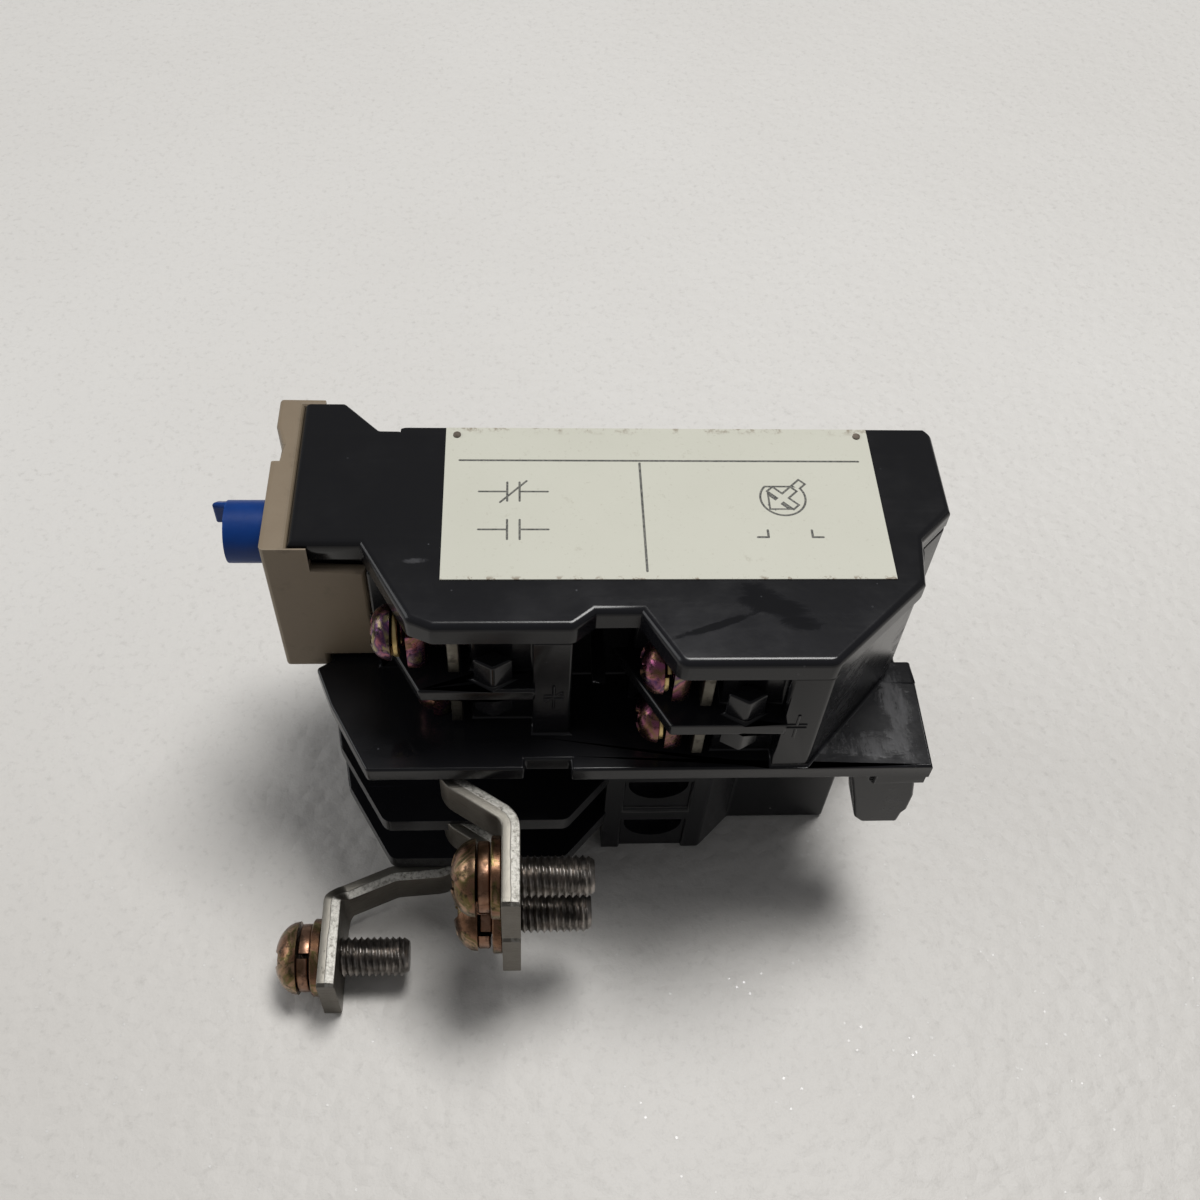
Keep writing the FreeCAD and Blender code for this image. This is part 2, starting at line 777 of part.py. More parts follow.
def shelfOutline(out, along):
    # Shelf between the two terminals of a column, raked at its front.
    rim = s.leftRim + out + s.shelfProud
    back = s.cellBack + s.bayBack + out
    end = s.ribStart + along + s.seam
    corner = s.cellFront + s.cellRake * (s.leftRim - s.nearNose) + along
    return [(corner - s.cellRake * (rim - back), -back), (corner, -rim),
            (end, -rim), (end, -back)]


def leadWedge(out, along):
    # Upright wedge of lozenge section that parts the two leads of a terminal.
    x = s.leadWedgeX + along
    y = s.leadWedgeSide + out
    return [(x - s.leadWedgeHalf, -y), (x, -y - s.leadWedgeDeep),
            (x + s.leadWedgeHalf, -y), (x, -y + s.leadWedgeDeep)]


def makeMechanismCase():
    piece = Piece("mechanism_case")
    piece.padZ([deckOutline()], deckLow, deckTop)
    # thicker end of the flange and the hook below it
    x = hookStart
    z = deckLow
    piece.padZ([box(x + s.flangeLipStart, -s.flangeSide, flangeEnd - s.fit,
                    -s.flangeSide + s.hookDeep + s.flangeLipExtra)], z - s.flangeLip, z)
    # the hook's corners as shares of its width and drop, down its front and up its back
    hook = [(0, 0), (0.1, 0.15), (0.24, 0.54), (0.35, 0.9), (0.48, 1), (1, 1),
            (1.02, 0.83), (1.07, 0.75), (1.07, 0.48), (1, 0.22), (1, 0)]
    side = -s.flangeSide + s.hookSide
    piece.padY([[(x + s.hookWide * along, z - s.hookDrop * down) for along, down in hook]],
               side, side + s.hookDeep)
    # step at the back of the flange
    piece.cutZ([box(flangeEnd - s.flangeStepLong, -s.flangeBack - s.flangeStep, flangeEnd, -s.flangeBack)],
               deckTop - s.flangeStepDeep, deckTop)
    piece.padZ([boxOutline()], deckTop, coverLow)
    # terminal bays: back block, two-way shelf and lead wedges of each column
    for column in range(2):
        out = s.columnStep * column
        along = s.columnPitch * column
        blockFront = s.auxPlateX + s.auxPlateThick + s.auxBlockGap + along
        piece.padZ([box(blockFront, -s.auxBlockSide - out,
                        s.ribStart + along + s.seam, -s.cellBack - s.bayBack - out)], deckTop, coverLow)
        piece.padZ([shelfOutline(out, along)], shelfLow, shelfTop)
        piece.padZ([leadWedge(out, along)], shelfLow - s.leadWedgeTall, shelfTop + s.leadWedgeTall)
    # ledge in the gap between the columns
    ledge = ribEnd + s.ledgeStart
    piece.padZ([box(ledge, -s.leftRim + s.ledgeFront, ledge + s.ledgeWide, -s.cellBack - s.ledgeBack)],
               shelfTop - s.ledgeDrop, shelfTop - s.ledgeDrop + s.ledgeThick)
    # mechanism chamber, open upward, and the transfer bar's way through the deck
    far = s.noseWidth - s.noseWall
    back = s.caseDepth - s.mechBackInset
    piece.cutZ([[(s.mechFront, -s.mechNear), (s.mechFront, far), (s.noseFlat - s.noseInset, far),
                 (nose - s.noseInset, -s.mechFar), (back, -s.mechFar), (back, -s.mechNear)]],
               deckTop, coverLow)
    piece.cutZ([transferWell()], deckLow, deckTop)
    # guide wall for the reset rod
    piece.padX([box(-s.mechNear - s.seam, s.rodLevel - s.guideDrop, -s.rodY + s.guideFar, coverLow)],
               s.guideX, s.guideX + s.guideThick)
    piece.cutX([circle(-s.rodY, s.rodLevel, s.rodNeck + s.runFit)], s.guideX, s.guideX + s.guideThick)
    # holes in the front wall for the rod's head, the dial's shaft and the test rod
    front = s.mechFront - s.wall
    piece.cutX([arch(-s.rodY, s.rodLevel, s.rodRadius + s.fit, coverLow)], front, s.mechFront)
    piece.cutX([circle(-s.dialY, s.dialLevel, s.dialShaft + s.runFit)], front, s.mechFront)
    piece.cutX([circle(-s.testY, s.testLevel, s.testRadius + s.runFit)], front, s.mechFront)
    for column in range(2):
        out = s.columnStep * column
        along = s.columnPitch * column
        blockFront = s.auxPlateX + s.auxPlateThick + s.auxBlockGap + along
        for level in auxLevel:
            # slot for the terminal plate and room for its screw's end
            plate = s.auxPlateX + along
            half = s.auxPlateTall / 2 + s.slotFit
            piece.cutY([box(plate - s.slotFit, level - half,
                            plate + s.auxPlateThick + s.slotFit, level + half)],
                       -s.cellBack - s.slotBack - out, -s.mechNear)
            piece.cutX([circle(-auxAxis - out, level, s.auxScrewRadius + s.fit)],
                       blockFront, s.ribStart + along)
    # post that holds the snap spring
    post = s.snapX + s.snapRadius
    piece.padZ([box(post, -snapY - s.postHalf, post + s.postThick, -snapY + s.postHalf)],
               deckTop, s.tripLow + s.tripTall)
    # bosses and holes for the pivot pins and the case screws
    for x, y, top in pivots:
        piece.padZ([circle(x, y, s.pivotBoss)], deckTop, top)
        piece.cutZ([circle(x, y, s.pinRadius)], deckTop - s.pinSunk, top)
    for x, y in caseScrews:
        piece.padZ([circle(x, y, s.bossRadius)], deckTop, deckTop + s.bossTall)
        piece.cutZ([circle(x, y, s.caseScrewRadius + s.runFit)],
                   deckLow, deckTop + s.bossTall - s.screwCover)


def makeSideCover():
    piece = Piece("side_cover")
    piece.padZ([[
        (0, s.noseWidth), (s.noseFlat, s.noseWidth), (nose - s.seam, -s.lipStep),
        (s.lipStart, -s.lipStep), (s.lipStart + s.lipRun, 0), (s.caseDepth - s.rearStep, 0),
        (s.caseDepth, -s.rearStep), (s.caseDepth, -s.rearShoulder),
        (rearCorner, -s.rearJog), (rearCorner - s.rearRake, -s.rearWaist),
        (secondRibEnd - s.fit, -s.deckRim), (s.rimTwoStart, -s.deckRim), (secondStart, -s.gapFloor),
        (ribEnd + s.gapSlope, -s.gapFloor), (ribEnd, -s.leftRim), (s.rimOneStart, -s.leftRim),
        (s.rimOneStart - s.rimOneSlope, -s.leftRim + s.rimOneDrop), (s.cellFront, -s.nearNose),
        (0, -s.nearNose)]], coverLow, coverTop)
    piece.rounded(s.cornerRound, upright(
        (secondRibEnd - s.fit, -s.deckRim), (s.rimTwoStart, -s.deckRim), (s.rimOneStart, -s.leftRim),
        (ribEnd, -s.leftRim), (s.rimOneStart - s.rimOneSlope, -s.leftRim + s.rimOneDrop)))
    atTop = flat(coverTop)
    near = -(s.lipStep + s.fit).value
    piece.rounded(s.edgeRound, lambda edge: atTop(edge) and edge.BoundBox.Center.y < near)
    # hollow for the top of the reset rod's head
    piece.cutX([circle(-s.rodY, s.rodLevel, s.rodRadius + s.fit)], 0, s.rodBack + s.rodTravel + s.fit)
    # seat of the rating plate, with the holes for its rivets
    piece.cutZ([labelOutline()], coverTop - s.labelSunk, coverTop)
    piece.cutZ(rivetHoles(), coverTop - s.labelSunk - s.rivetHoleDeep, coverTop)


def labelOutline():
    return box(s.labelStart, -s.labelWidth, s.labelStart + s.labelLength, -s.labelEdge)


def rivetHoles():
    inset = s.labelRivetInset
    return [circle(x, -inset, s.labelRivet)
            for x in (s.labelStart + inset, s.labelStart + s.labelLength - inset)]


def makeRatingLabel():
    low = coverTop - s.labelSunk
    piece = Piece("rating_label")
    piece.padZ([labelOutline()], low, low + s.labelThick)
    piece.cutZ(rivetHoles(), low, low + s.labelThick)
    piece = Piece("label_rivets")
    piece.padZ(rivetHoles(), low - s.rivetLong, low + s.labelThick + s.rivetProud)


def makeRearCover():
    piece = Piece("rear_cover")
    front = coverFront
    piece.padZ([[(front, -s.rearShoulder - s.rearCoverThick), (s.caseDepth, -s.rearShoulder),
                 (s.caseDepth, -s.rearStep), (s.caseDepth - s.rearRake, -s.lipStep), (front, -s.lipStep)]],
               s.rearCoverFloor, coverLow - s.seam)


# ---- beige front cover with its cheeks and window ----

def makeFrontCover():
    piece = Piece("front_cover")
    low = deckLow + s.coverFoot
    top = coverTop - s.coverDrop
    front = -s.coverProud
    near = -s.coverNear
    far = s.coverFar
    piece.padX([box(near, low, far, top)], front, front + s.coverWall)
    # near cheek, thinned where it lies over the side cover
    inside = -s.fit / 2
    step = low + s.cheekLip
    shoulder = top - s.cheekTop
    piece.padY([[(front, low), (s.cheekLip, low), (s.cheekLip, step), (s.cheekReach, step),
                 (s.cheekReach, shoulder), (s.cheekNotch, shoulder), (s.cheekNotch, top), (front, top)]],
               near, near + s.coverWall)
    piece.cutY([box(inside, coverLow - s.fit, s.cheekReach, top)], -s.nearNose - s.fit, near + s.coverWall)
    # far cheek, top wall and bottom wall
    piece.padY([box(front, low, s.farCheek, top)], far - s.coverWall, far)
    piece.cutY([box(inside, coverLow - s.fit, s.farCheek, top)], far - s.coverWall, s.noseWidth + s.fit)
    piece.padZ([box(front, near, inside, far)], top - s.coverWall, top)
    piece.padZ([box(front, near, s.cheekLip, far)], low, low + s.coverWall)
    # shallow window round the test rod, open at the top and sloping out on its far side,
    # and the holes for rod, dial and test rod
    window = [(front, -s.windowNear), (front + s.windowDeep, -s.windowNear),
              (front + s.windowDeep, s.windowFar - s.windowSlope), (front, s.windowFar)]
    piece.cutZ([window], low + s.windowMargin, top)
    back = front + s.coverWall
    piece.cutX([circle(-s.rodY, s.rodLevel, s.rodRadius + s.fit)], front, back)
    piece.cutX([circle(-s.dialY, s.dialLevel, s.dialRadius + s.dialSunk)], front, back)
    piece.cutX([circle(-s.testY, s.testLevel, s.testRadius + s.dialSunk)], front, back)


# ---- power path: bus bars, heaters, load terminals ----

def strip(piece, corners, low, high, start, halfThick):
    # Flat strip on edge, swept along corners in plan from its root.
    path = piece.body.newObject("Sketcher::SketchObject", "Path")
    path.AttachmentSupport = [(piece.plane("XY_Plane"), "")]
    path.MapMode = "FlatFace"
    for i in range(len(corners) - 1):
        ends = [FreeCAD.Vector(sized(x).value, sized(y).value, 0) for x, y in corners[i:i + 2]]
        path.addGeometry(Part.LineSegment(*ends))
        if i:
            path.addConstraint(Sketcher.Constraint("Coincident", i - 1, 2, i, 1))
        piece.pin(path, "DistanceX", i, 1, sized(corners[i][0]))
        piece.pin(path, "DistanceY", i, 1, sized(corners[i][1]))
    last = len(corners) - 2
    piece.pin(path, "DistanceX", last, 2, sized(corners[-1][0]))
    piece.pin(path, "DistanceY", last, 2, sized(corners[-1][1]))
    section = piece.sketch("XZ_Plane", [box(start - halfThick, low, start + halfThick, high)],
                           -sized(corners[0][1]))
    sweep = piece.body.newObject("PartDesign::AdditivePipe", "Strip")
    sweep.Profile = section
    sweep.Spine = (path, [f"Edge{i + 1}" for i in range(len(corners) - 1)])
    sweep.Transition = "Right corner"
    path.Visibility = False
    section.Visibility = False


def busTab(i):
    # x of the tab's middle plane, y of its bend, y of its end, y of its hole
    if i == 0:
        return s.lastTabX, -s.lastTabBend, -s.lastTabEnd, -s.tabHoleY - s.lastTabEnd + s.tabEnd
    return s.tabX, -s.tabBend, -s.tabEnd, -s.tabHoleY


def makeBusBars():
    half = s.barThick / 2
    for i in range(3):
        piece = Piece(f"bus_bar_{i + 1}")
        x, bend, end, hole = busTab(i)
        root = [(s.barRootX, -s.barInner)]
        if i == 0:
            root += [(s.barRootX, -s.lastKneeY + s.kneeStep), (s.lastKneeX, -s.lastKneeY)]
        else:
            root += [(s.barRootX, -s.barBend)]
        strip(piece, root + [(x, bend), (x, bend - s.tabLap)], barLow[i], barTop[i], s.barRootX, half)
        c = s.tabCorner
        low, high = tabLow[i], tabHigh[i]
        inner, outer = bend + s.tabShoulder, bend - s.tabRun
        piece.padX([[(inner, barLow[i]), (outer, low), (end + c, low), (end, low + c), (end, high - c),
                     (end + c, high), (outer, high), (inner, barTop[i])]], x - half, x + half)
        piece.cutX([circle(hole, tabMiddle[i], s.busScrewRadius + s.runFit)], x - half, x + half)


def screwProfile(shank, length, head, tall, neck=()):
    # Half section of a pan-head screw; its head stands towards negative x. The head's
    # dome is given as shares of its height and radius; a neck adds its own corners.
    return [(-tall, 0), (-tall, head * 0.72), (-tall * 0.8, head * 0.88), (-tall * 0.45, head), (0, head),
            *(neck or [(0, shank)]), (length - s.tipBevel, shank), (length, shank - s.tipBevel), (length, 0)]


def ringProfile(inner, outer, thick):
    return [(0, inner), (thick, inner), (thick, outer), (0, outer)]


def makeBusScrews():
    screws = Piece("bus_screws")
    springs = Piece("bus_spring_washers")
    flats = Piece("bus_flat_washers")
    for i in range(3):
        x, bend, end, hole = busTab(i)
        plate = x - s.barThick / 2 - s.busWasherThick
        head = plate - s.busSpringThick
        # the thread starts just beyond the tab; the neck under the head keeps the washers
        neckEnd = s.busSpringThick + s.busWasherThick + s.barThick + s.fit
        neck = [(0, s.busNeckRadius), (neckEnd, s.busNeckRadius), (neckEnd, s.busScrewRadius)]
        screws.turned(screwProfile(s.busScrewRadius, s.busScrewLength, s.busHeadRadius, s.busHeadTall, neck),
                      head, hole, tabMiddle[i])
        inner = s.busScrewRadius + 2 * s.runFit
        springs.turned(ringProfile(inner, s.busSpringRadius, s.busSpringThick), head, hole, tabMiddle[i])
        flats.turned(ringProfile(inner, s.busWasherRadius, s.busWasherThick), plate, hole, tabMiddle[i])


def makeLoadTerminals():
    x = s.loadPlateX
    for i in range(3):
        level = loadLevel[i]
        piece = Piece(f"load_terminal_{i + 1}")
        half = s.loadPlateTall / 2
        piece.padX([box(-s.loadPlateInner, level - half, s.loadPlateOuter, level + half)],
                   x, x + s.loadPlateThick)
        piece.cutX([circle(s.loadAxis, level, s.loadScrewRadius + s.runFit)], x, x + s.loadPlateThick)
    screws = Piece("load_screws")
    washers = Piece("load_washers")
    for level in loadLevel:
        head = x - s.loadWasherThick
        screws.turned(screwProfile(s.loadScrewRadius, s.loadScrewLength, s.loadHeadRadius, s.loadHeadTall),
                      head, s.loadAxis, level)
        side = s.loadWasherSide / 2
        washers.padX([box(s.loadAxis - side, level - side, s.loadAxis + side, level + side),
                      circle(s.loadAxis, level, s.loadScrewRadius + 2 * s.runFit)], head, x)


def makeHeaters():
    for i in range(3):
        middle = barMiddle[i]
        inner = s.bimetalTall / 2 + s.fit
        wall = s.sleeveWall
        piece = Piece(f"heater_{i + 1}")

        def sleeve(grow):
            return box(-s.bimetalY - s.sleeveHalf - grow, middle - inner - wall - grow,
                       -s.bimetalY + s.sleeveHalf + grow, middle + inner + wall + grow)

        piece.padX([sleeve(0)], s.sleeveStart, s.sleeveStart + s.sleeveLength)
        first = s.sleeveStart + s.sleeveBare
        turn = piece.padX([sleeve(s.turnThick)], first, first + s.turnWide)
        piece.repeated(turn, "X_Axis", s.turnPitch, s.turnCount)
        # leads to the bus bar and to the load terminal
        near = -s.bimetalY - s.sleeveHalf
        piece.padZ([box(s.barRootX + s.barThick / 2, near, first, near + s.leadThick)],
                   middle - s.leadHalf, middle + s.leadHalf)
        far = -s.bimetalY + s.sleeveHalf
        piece.padZ([box(s.loadPlateX + s.loadPlateThick, far, first, far + s.loadLeadThick)],
                   middle - s.leadHalf, middle + s.leadHalf)
        piece.cutX([box(-s.bimetalY - s.sleeveHalf + wall, middle - inner,
                        -s.bimetalY + s.sleeveHalf - wall, middle + inner)],
                   s.sleeveStart, s.sleeveStart + s.sleeveLength)
        # strip with a rolled bead at its root, about which it bends
        piece = Piece(f"bimetal_{i + 1}")
        half = s.bimetalTall / 2
        root = s.barRootX + s.barThick / 2 + s.fit + s.bimetalRoot
        piece.padZ([box(root, -s.bimetalY - s.bimetalThick / 2,
                        transferX + s.bimetalLap, -s.bimetalY + s.bimetalThick / 2)],
                   middle - half, middle + half)
        piece.padZ([circle(root, -s.bimetalY, s.bimetalRoot)], middle - half, middle + half)


# ---- trip mechanism ----

def makeTransferBar():
    piece = Piece("transfer_bar")
    x = transferX
    piece.padZ([box(x, -s.transferNear, x + s.transferWide, -s.transferFar)], s.barFloor, s.barTopLevel)
    top = s.barTopLevel - s.fingerDrop
    piece.padZ([box(x - s.fingerReach, -s.fingerFar - s.fingerThick, x + s.fingerLap, -s.fingerFar)],
               top - s.fingerTall, top)
    face = -s.bimetalY + s.bimetalThick / 2 + s.fit
    for i in range(3):
        half = s.bimetalTall / 2 + s.fit
        piece.cutZ([box(x, face - s.transferNotch, x + s.transferWide - s.notchWall, face)],
                   barMiddle[i] - half, barMiddle[i] + half)


def makeResetParts():
    piece = Piece("reset_rod")
    y, z = -s.rodY, s.rodLevel
    front = -s.coverProud - s.rodProud
    piece.padX([circle(y, z, s.rodRadius)], front, s.rodBack)
    piece.padX([circle(y, z, s.rodNeck)], s.rodBack, s.rodNeckEnd)
    piece.padX([circle(y, z, s.rodPin)], s.rodNeckEnd, s.rodPinEnd)
    # small flag on the upper far quarter of the face, its corners as shares of the head's radius,
    # and the screwdriver slot beside it
    flag = [(0.25, 0.1), (0.95, 0.1), (0.8, 0.55), (0.45, 0.88), (0.25, 0.88)]
    piece.padX([[(y + s.rodRadius * across, z + s.rodRadius * up) for across, up in flag]],
               front - s.rodFlag, front)
    piece.cutX([box(y - s.rodSlotHalf, z - s.rodSlotLong, y + s.rodSlotHalf, z + s.rodSlotLong)],
               front, front + s.rodSlotDeep)
    slider = Piece("reset_slider")
    start = s.rodNeckEnd + s.fit
    slider.padX([box(y - s.sliderHalf, z - s.sliderTall, y + s.sliderHalf, z + s.sliderTall)],
                start, s.sliderEnd)
    slider.cutX([circle(y, z, s.rodPin + s.runFit)], start, s.rodPinEnd + s.fit)
    spring = Piece("reset_spring")
    end = s.guideX - s.fit
    wire = spring.sketch("XZ_Plane", [circle(0, s.springRadius, s.springWire)], -sized(y),
                         (end - s.springWire - s.springPitch * s.springTurns, z))
    coil = spring.body.newObject("PartDesign::AdditiveHelix", "Coil")
    coil.Profile = wire
    coil.ReferenceAxis = (wire, ["H_Axis"])
    coil.Mode = "pitch-turns-angle"
    coil.setExpression("Pitch", s.springPitch.words)
    coil.setExpression("Turns", s.springTurns.words)
    wire.Visibility = False


def camOutline():
    # Spiral whose radius grows with the dial's turn over two thirds of a circle.
    corners = []
    count = 24
    rising = 16
    for i in range(count):
        part = i / rising if i <= rising else (count - i) / (count - rising)
        radius = s.camRadius + s.camThrow * part
        angle = -2 * math.pi * i / count
        corners.append((-s.dialY + radius * round(math.cos(angle), 5),
                        s.dialLevel + radius * round(math.sin(angle), 5)))
    return corners


def makeDial():
    piece = Piece("adjusting_dial")
    y, z = -s.dialY, s.dialLevel
    front = -s.coverProud + s.dialSunk
    piece.padX([circle(y, z, s.dialRadius)], front, front + s.dialThick)
    piece.padX([circle(y, z, s.dialShaft)], front + s.dialThick, s.dialShaftEnd)
    piece.padX([camOutline()], s.dialShaftEnd, s.dialShaftEnd + s.camThick)
    wide, long = s.dialSlotHalf, s.dialSlotLong
    piece.cutX([box(y - wide, z - long, y + wide, z + long)], front, front + s.dialSlotDeep)
    piece.cutX([box(y - long, z - wide, y + long, z + wide)], front, front + s.dialSlotDeep)


def makeLevers():
    half = s.leverThick / 2
    y = -s.adjustY
    piece = Piece("adjusting_lever")
    top = s.adjustLow + s.adjustTall
    piece.padZ([box(s.adjustStart, y - half, s.adjustEnd, y + half)], s.adjustLow, top)
    piece.padZ([circle(s.adjustPinX, y, s.eyeRadius)], s.adjustLow, top)
    piece.padZ([box(s.adjustStart, -s.adjustNose, s.adjustStart + s.camThick, y)],
               top - s.adjustNoseTall, top)
    piece.padZ([circle(s.compPinX, y, s.smallPin)],
               s.adjustLow + s.smallPinStart, s.compLow + s.compTall + s.smallPinProud)
    piece.cutZ([circle(s.adjustPinX, y, s.pinRadius + s.runFit)], s.adjustLow, top)

    piece = Piece("compensating_lever")
    half = s.compThick / 2
    top = s.compLow + s.compTall
    piece.padZ([box(s.compTipX, y - half, transferX - s.compRearGap, y + half)], s.compLow, top)
    piece.padZ([circle(s.compPinX, y, s.eyeRadius - s.fit)], s.compLow, top)
    tip = s.compTipWide / 2
    piece.padZ([box(s.compTipX - tip, y - s.compTipDrop, s.compTipX + tip, y + half)], s.compLow, top)
    piece.cutZ([circle(s.compPinX, y, s.smallPin + s.runFit)], s.compLow, top)

    piece = Piece("trip_lever")
    half = s.tripThick / 2
    y = -s.tripY
    top = s.tripLow + s.tripTall
    piece.padZ([box(s.tripPinX - s.tripReach, y - half, s.tripPinX + s.tripReach, y + half)], s.tripLow, top)
    piece.padZ([circle(s.tripPinX, y, s.eyeRadius)], s.tripLow, top)
    pad = s.tripPinX - s.tripReach
    piece.padZ([box(pad - s.tripPadHalf, y - half, pad + s.tripPadHalf, y + half)],
               s.tripLow + s.tripPadLow, s.tripTop)
    piece.padZ([box(s.compTipX - s.heelWide / 2, y, s.compTipX + s.heelWide / 2, -s.heelFar)],
               s.compLow + s.heelStep, top)
    piece.cutZ([circle(s.tripPinX, y, s.pinRadius + s.runFit)], s.tripLow, top)

    # moving contact bridges, one at each end of the trip lever
    low = auxLevel[0] - s.bladeWide / 2 - s.bladeFoot
    high = auxLevel[1] + s.bladeWide / 2 + s.bladeHead
    ends = {"nc_blade": s.tripPinX - s.tripReach, "no_blade": s.tripPinX + s.tripReach - s.bladeWide}
    for label, x in ends.items():
        piece = Piece(label)
        piece.padZ([box(x, y - half - s.bladeThick, x + s.bladeWide, y - half)], low, high)

    piece = Piece("snap_spring")
    low = s.tripLow + s.snapLow
    piece.padZ([circle(s.snapX, -snapY, s.snapRadius), circle(s.snapX, -snapY, s.snapRadius - s.snapThick)],
               low, low + s.snapTall)
    piece.cutZ([box(s.snapX - 2 * s.snapRadius, -snapY - s.snapSlot, s.snapX, -snapY + s.snapSlot)],
               low, low + s.snapTall)

    piece = Piece("pivot_pins")
    piece.padZ([circle(s.adjustPinX, -s.adjustY, s.pinRadius)],
               deckTop - s.pinSunk, s.adjustLow + s.adjustTall + s.fit)
    piece.padZ([circle(s.tripPinX, -s.tripY, s.pinRadius)],
               deckTop - s.pinSunk, s.tripLow + s.tripTall + s.tripPinProud)

    piece = Piece("test_rod")
    piece.padX([circle(-s.testY, s.testLevel, s.testRadius)], -s.coverProud - s.testProud, s.testEnd)
    collar = s.mechFront + s.collarGap
    piece.padX([circle(-s.testY, s.testLevel, s.collarRadius)], collar, collar + s.collarThick)


# ---- auxiliary terminals of the contact columns ----

def makeAuxTerminals():
    half = s.auxPlateTall / 2
    for column, name in enumerate(("nc", "no")):
        out = s.columnStep * column
        x = s.auxPlateX + s.columnPitch * column
        for level, place in zip(auxLevel, ("lower", "upper")):
            piece = Piece(f"{name}_terminal_{place}")
            inner = -s.fixedRun - s.fixedThick
            piece.padX([box(-s.auxPlateReach - out, level - half, inner, level + half)],
                       x, x + s.auxPlateThick)
            if column == 0:
                rivet = s.tripPinX - s.tripReach + s.bladeWide / 2
                piece.padZ([box(x, inner, rivet + s.rivetMargin, -s.fixedRun)],
                           level - s.stripHalf, level + s.stripHalf)
                face = -s.closedFace
            else:
                rivet = s.tripPinX + s.tripReach - s.bladeWide / 2
                piece.padZ([box(rivet - s.rivetMargin, inner, x + s.auxPlateThick, -s.fixedRun)],
                           level - s.stripHalf, level + s.stripHalf)
                face = -s.openFace
            piece.padY([circle(rivet, level, s.rivetRadius)], -s.fixedRun, face)
            piece.cutX([circle(-auxAxis - out, level, s.auxScrewRadius + s.runFit)], x, x + s.auxPlateThick)


def makeAuxScrews():
    screws = Piece("aux_screws")
    springs = Piece("aux_spring_washers")
    squares = Piece("aux_square_washers")
    # how far each screw is backed out, and how far its washer stands off the plate
    loose = [[(sized(0), sized(0)), (s.looseFirst, s.looseWasher)],
             [(s.looseSecond, s.looseWasher / 2), (s.looseThird, s.looseWasher / 2)]]
    for column in range(2):
        y = -auxAxis - s.columnStep * column
        plate = s.auxPlateX + s.columnPitch * column
        for row in range(2):
            z = auxLevel[row]
            backed, off = loose[column][row]
            head = plate - s.auxWasherThick - s.auxSpringThick - backed
            screws.turned(screwProfile(s.auxScrewRadius, s.auxScrewLength, s.auxHeadRadius, s.auxHeadTall),
                          head, y, z)
            inner = s.auxScrewRadius + 2 * s.runFit
            springs.turned(ringProfile(inner, s.auxSpringRadius, s.auxSpringThick), head, y, z)
            side = s.auxWasherSide / 2
            back = plate - off
            squares.padX([box(y - side, z - side, y + side, z + side), circle(y, z, inner)],
                         back - s.auxWasherThick, back)


def makeCaseScrews():
    piece = Piece("case_screws")
    seat = s.caseScrewHeadTall + s.fit
    for x, y in caseScrews:
        piece.padZ([circle(x, y, s.caseScrewHead)], s.fit, seat)
        piece.padZ([circle(x, y, s.caseScrewRadius)], seat, deckTop + s.bossTall - s.screwCover - s.seam)


makePowerCase()
makeMechanismCase()
makeSideCover()
makeRatingLabel()
makeRearCover()
makeFrontCover()
makeBusBars()
makeBusScrews()
makeLoadTerminals()
makeHeaters()
makeTransferBar()
makeResetParts()
makeDial()
makeLevers()
makeAuxTerminals()
makeAuxScrews()
makeCaseScrews()
doc.recompute()

faults = []
for thing in doc.Objects:
    if "Invalid" in thing.State or "Error" in thing.State:
        faults.append(f"{thing.Name} did not compute")
for piece in pieces:
    shape = piece.body.Shape
    if shape.isNull() or not shape.isValid() or shape.Volume <= 0:
        faults.append(f"{piece.body.Label} is not a sound solid")
    for cut in piece.cuts:
        before, after = cut.BaseFeature.Shape, cut.Shape
        if before.isNull() or after.isNull() or after.Volume > before.Volume - 0.001:
            faults.append(f"{piece.body.Label}: {cut.Name} removes nothing")
if faults:
    raise RuntimeError("; ".join(faults))

os.makedirs("parts", exist_ok=True)
for piece in pieces:
    shape = piece.body.Shape
    shape.exportStep(f"parts/{piece.body.Label}.step")
    print(piece.body.Label, len(shape.Solids), round(shape.Volume, 1))
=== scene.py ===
import math

import bmesh
import bpy
import numpy as np
from mathutils import Matrix, Vector


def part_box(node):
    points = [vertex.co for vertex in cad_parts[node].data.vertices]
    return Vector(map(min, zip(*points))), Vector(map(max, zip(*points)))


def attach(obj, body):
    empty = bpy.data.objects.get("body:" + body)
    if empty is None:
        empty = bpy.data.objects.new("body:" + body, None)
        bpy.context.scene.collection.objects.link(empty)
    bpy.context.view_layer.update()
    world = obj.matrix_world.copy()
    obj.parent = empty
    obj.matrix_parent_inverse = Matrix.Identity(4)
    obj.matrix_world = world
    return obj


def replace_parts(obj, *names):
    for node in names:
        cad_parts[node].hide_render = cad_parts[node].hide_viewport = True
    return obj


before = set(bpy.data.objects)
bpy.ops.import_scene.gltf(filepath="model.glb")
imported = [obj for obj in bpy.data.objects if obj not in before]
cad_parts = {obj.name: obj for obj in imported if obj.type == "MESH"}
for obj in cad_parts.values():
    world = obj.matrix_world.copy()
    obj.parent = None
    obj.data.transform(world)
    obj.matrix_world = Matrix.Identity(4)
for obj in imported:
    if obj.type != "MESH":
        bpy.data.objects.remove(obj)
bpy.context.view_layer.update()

mm = 0.001
tau = 2 * math.pi
weld = 0.002 * mm        # vertices nearer than this are one

# Relay axes in mm: x back from the front edge of the side cover, y from line side to load side, z up.
# The cover's front edge and the rating plate's far edge say where those axes lie in the frame.
plateInset = 0.1
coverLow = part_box("side_cover")[0]
plateLow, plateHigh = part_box("rating_label")
relayZero = np.array([coverLow.x, plateHigh.y + plateInset * mm, 0.0])


def toFrame(points):
    return np.asarray(points, float) * mm + relayZero


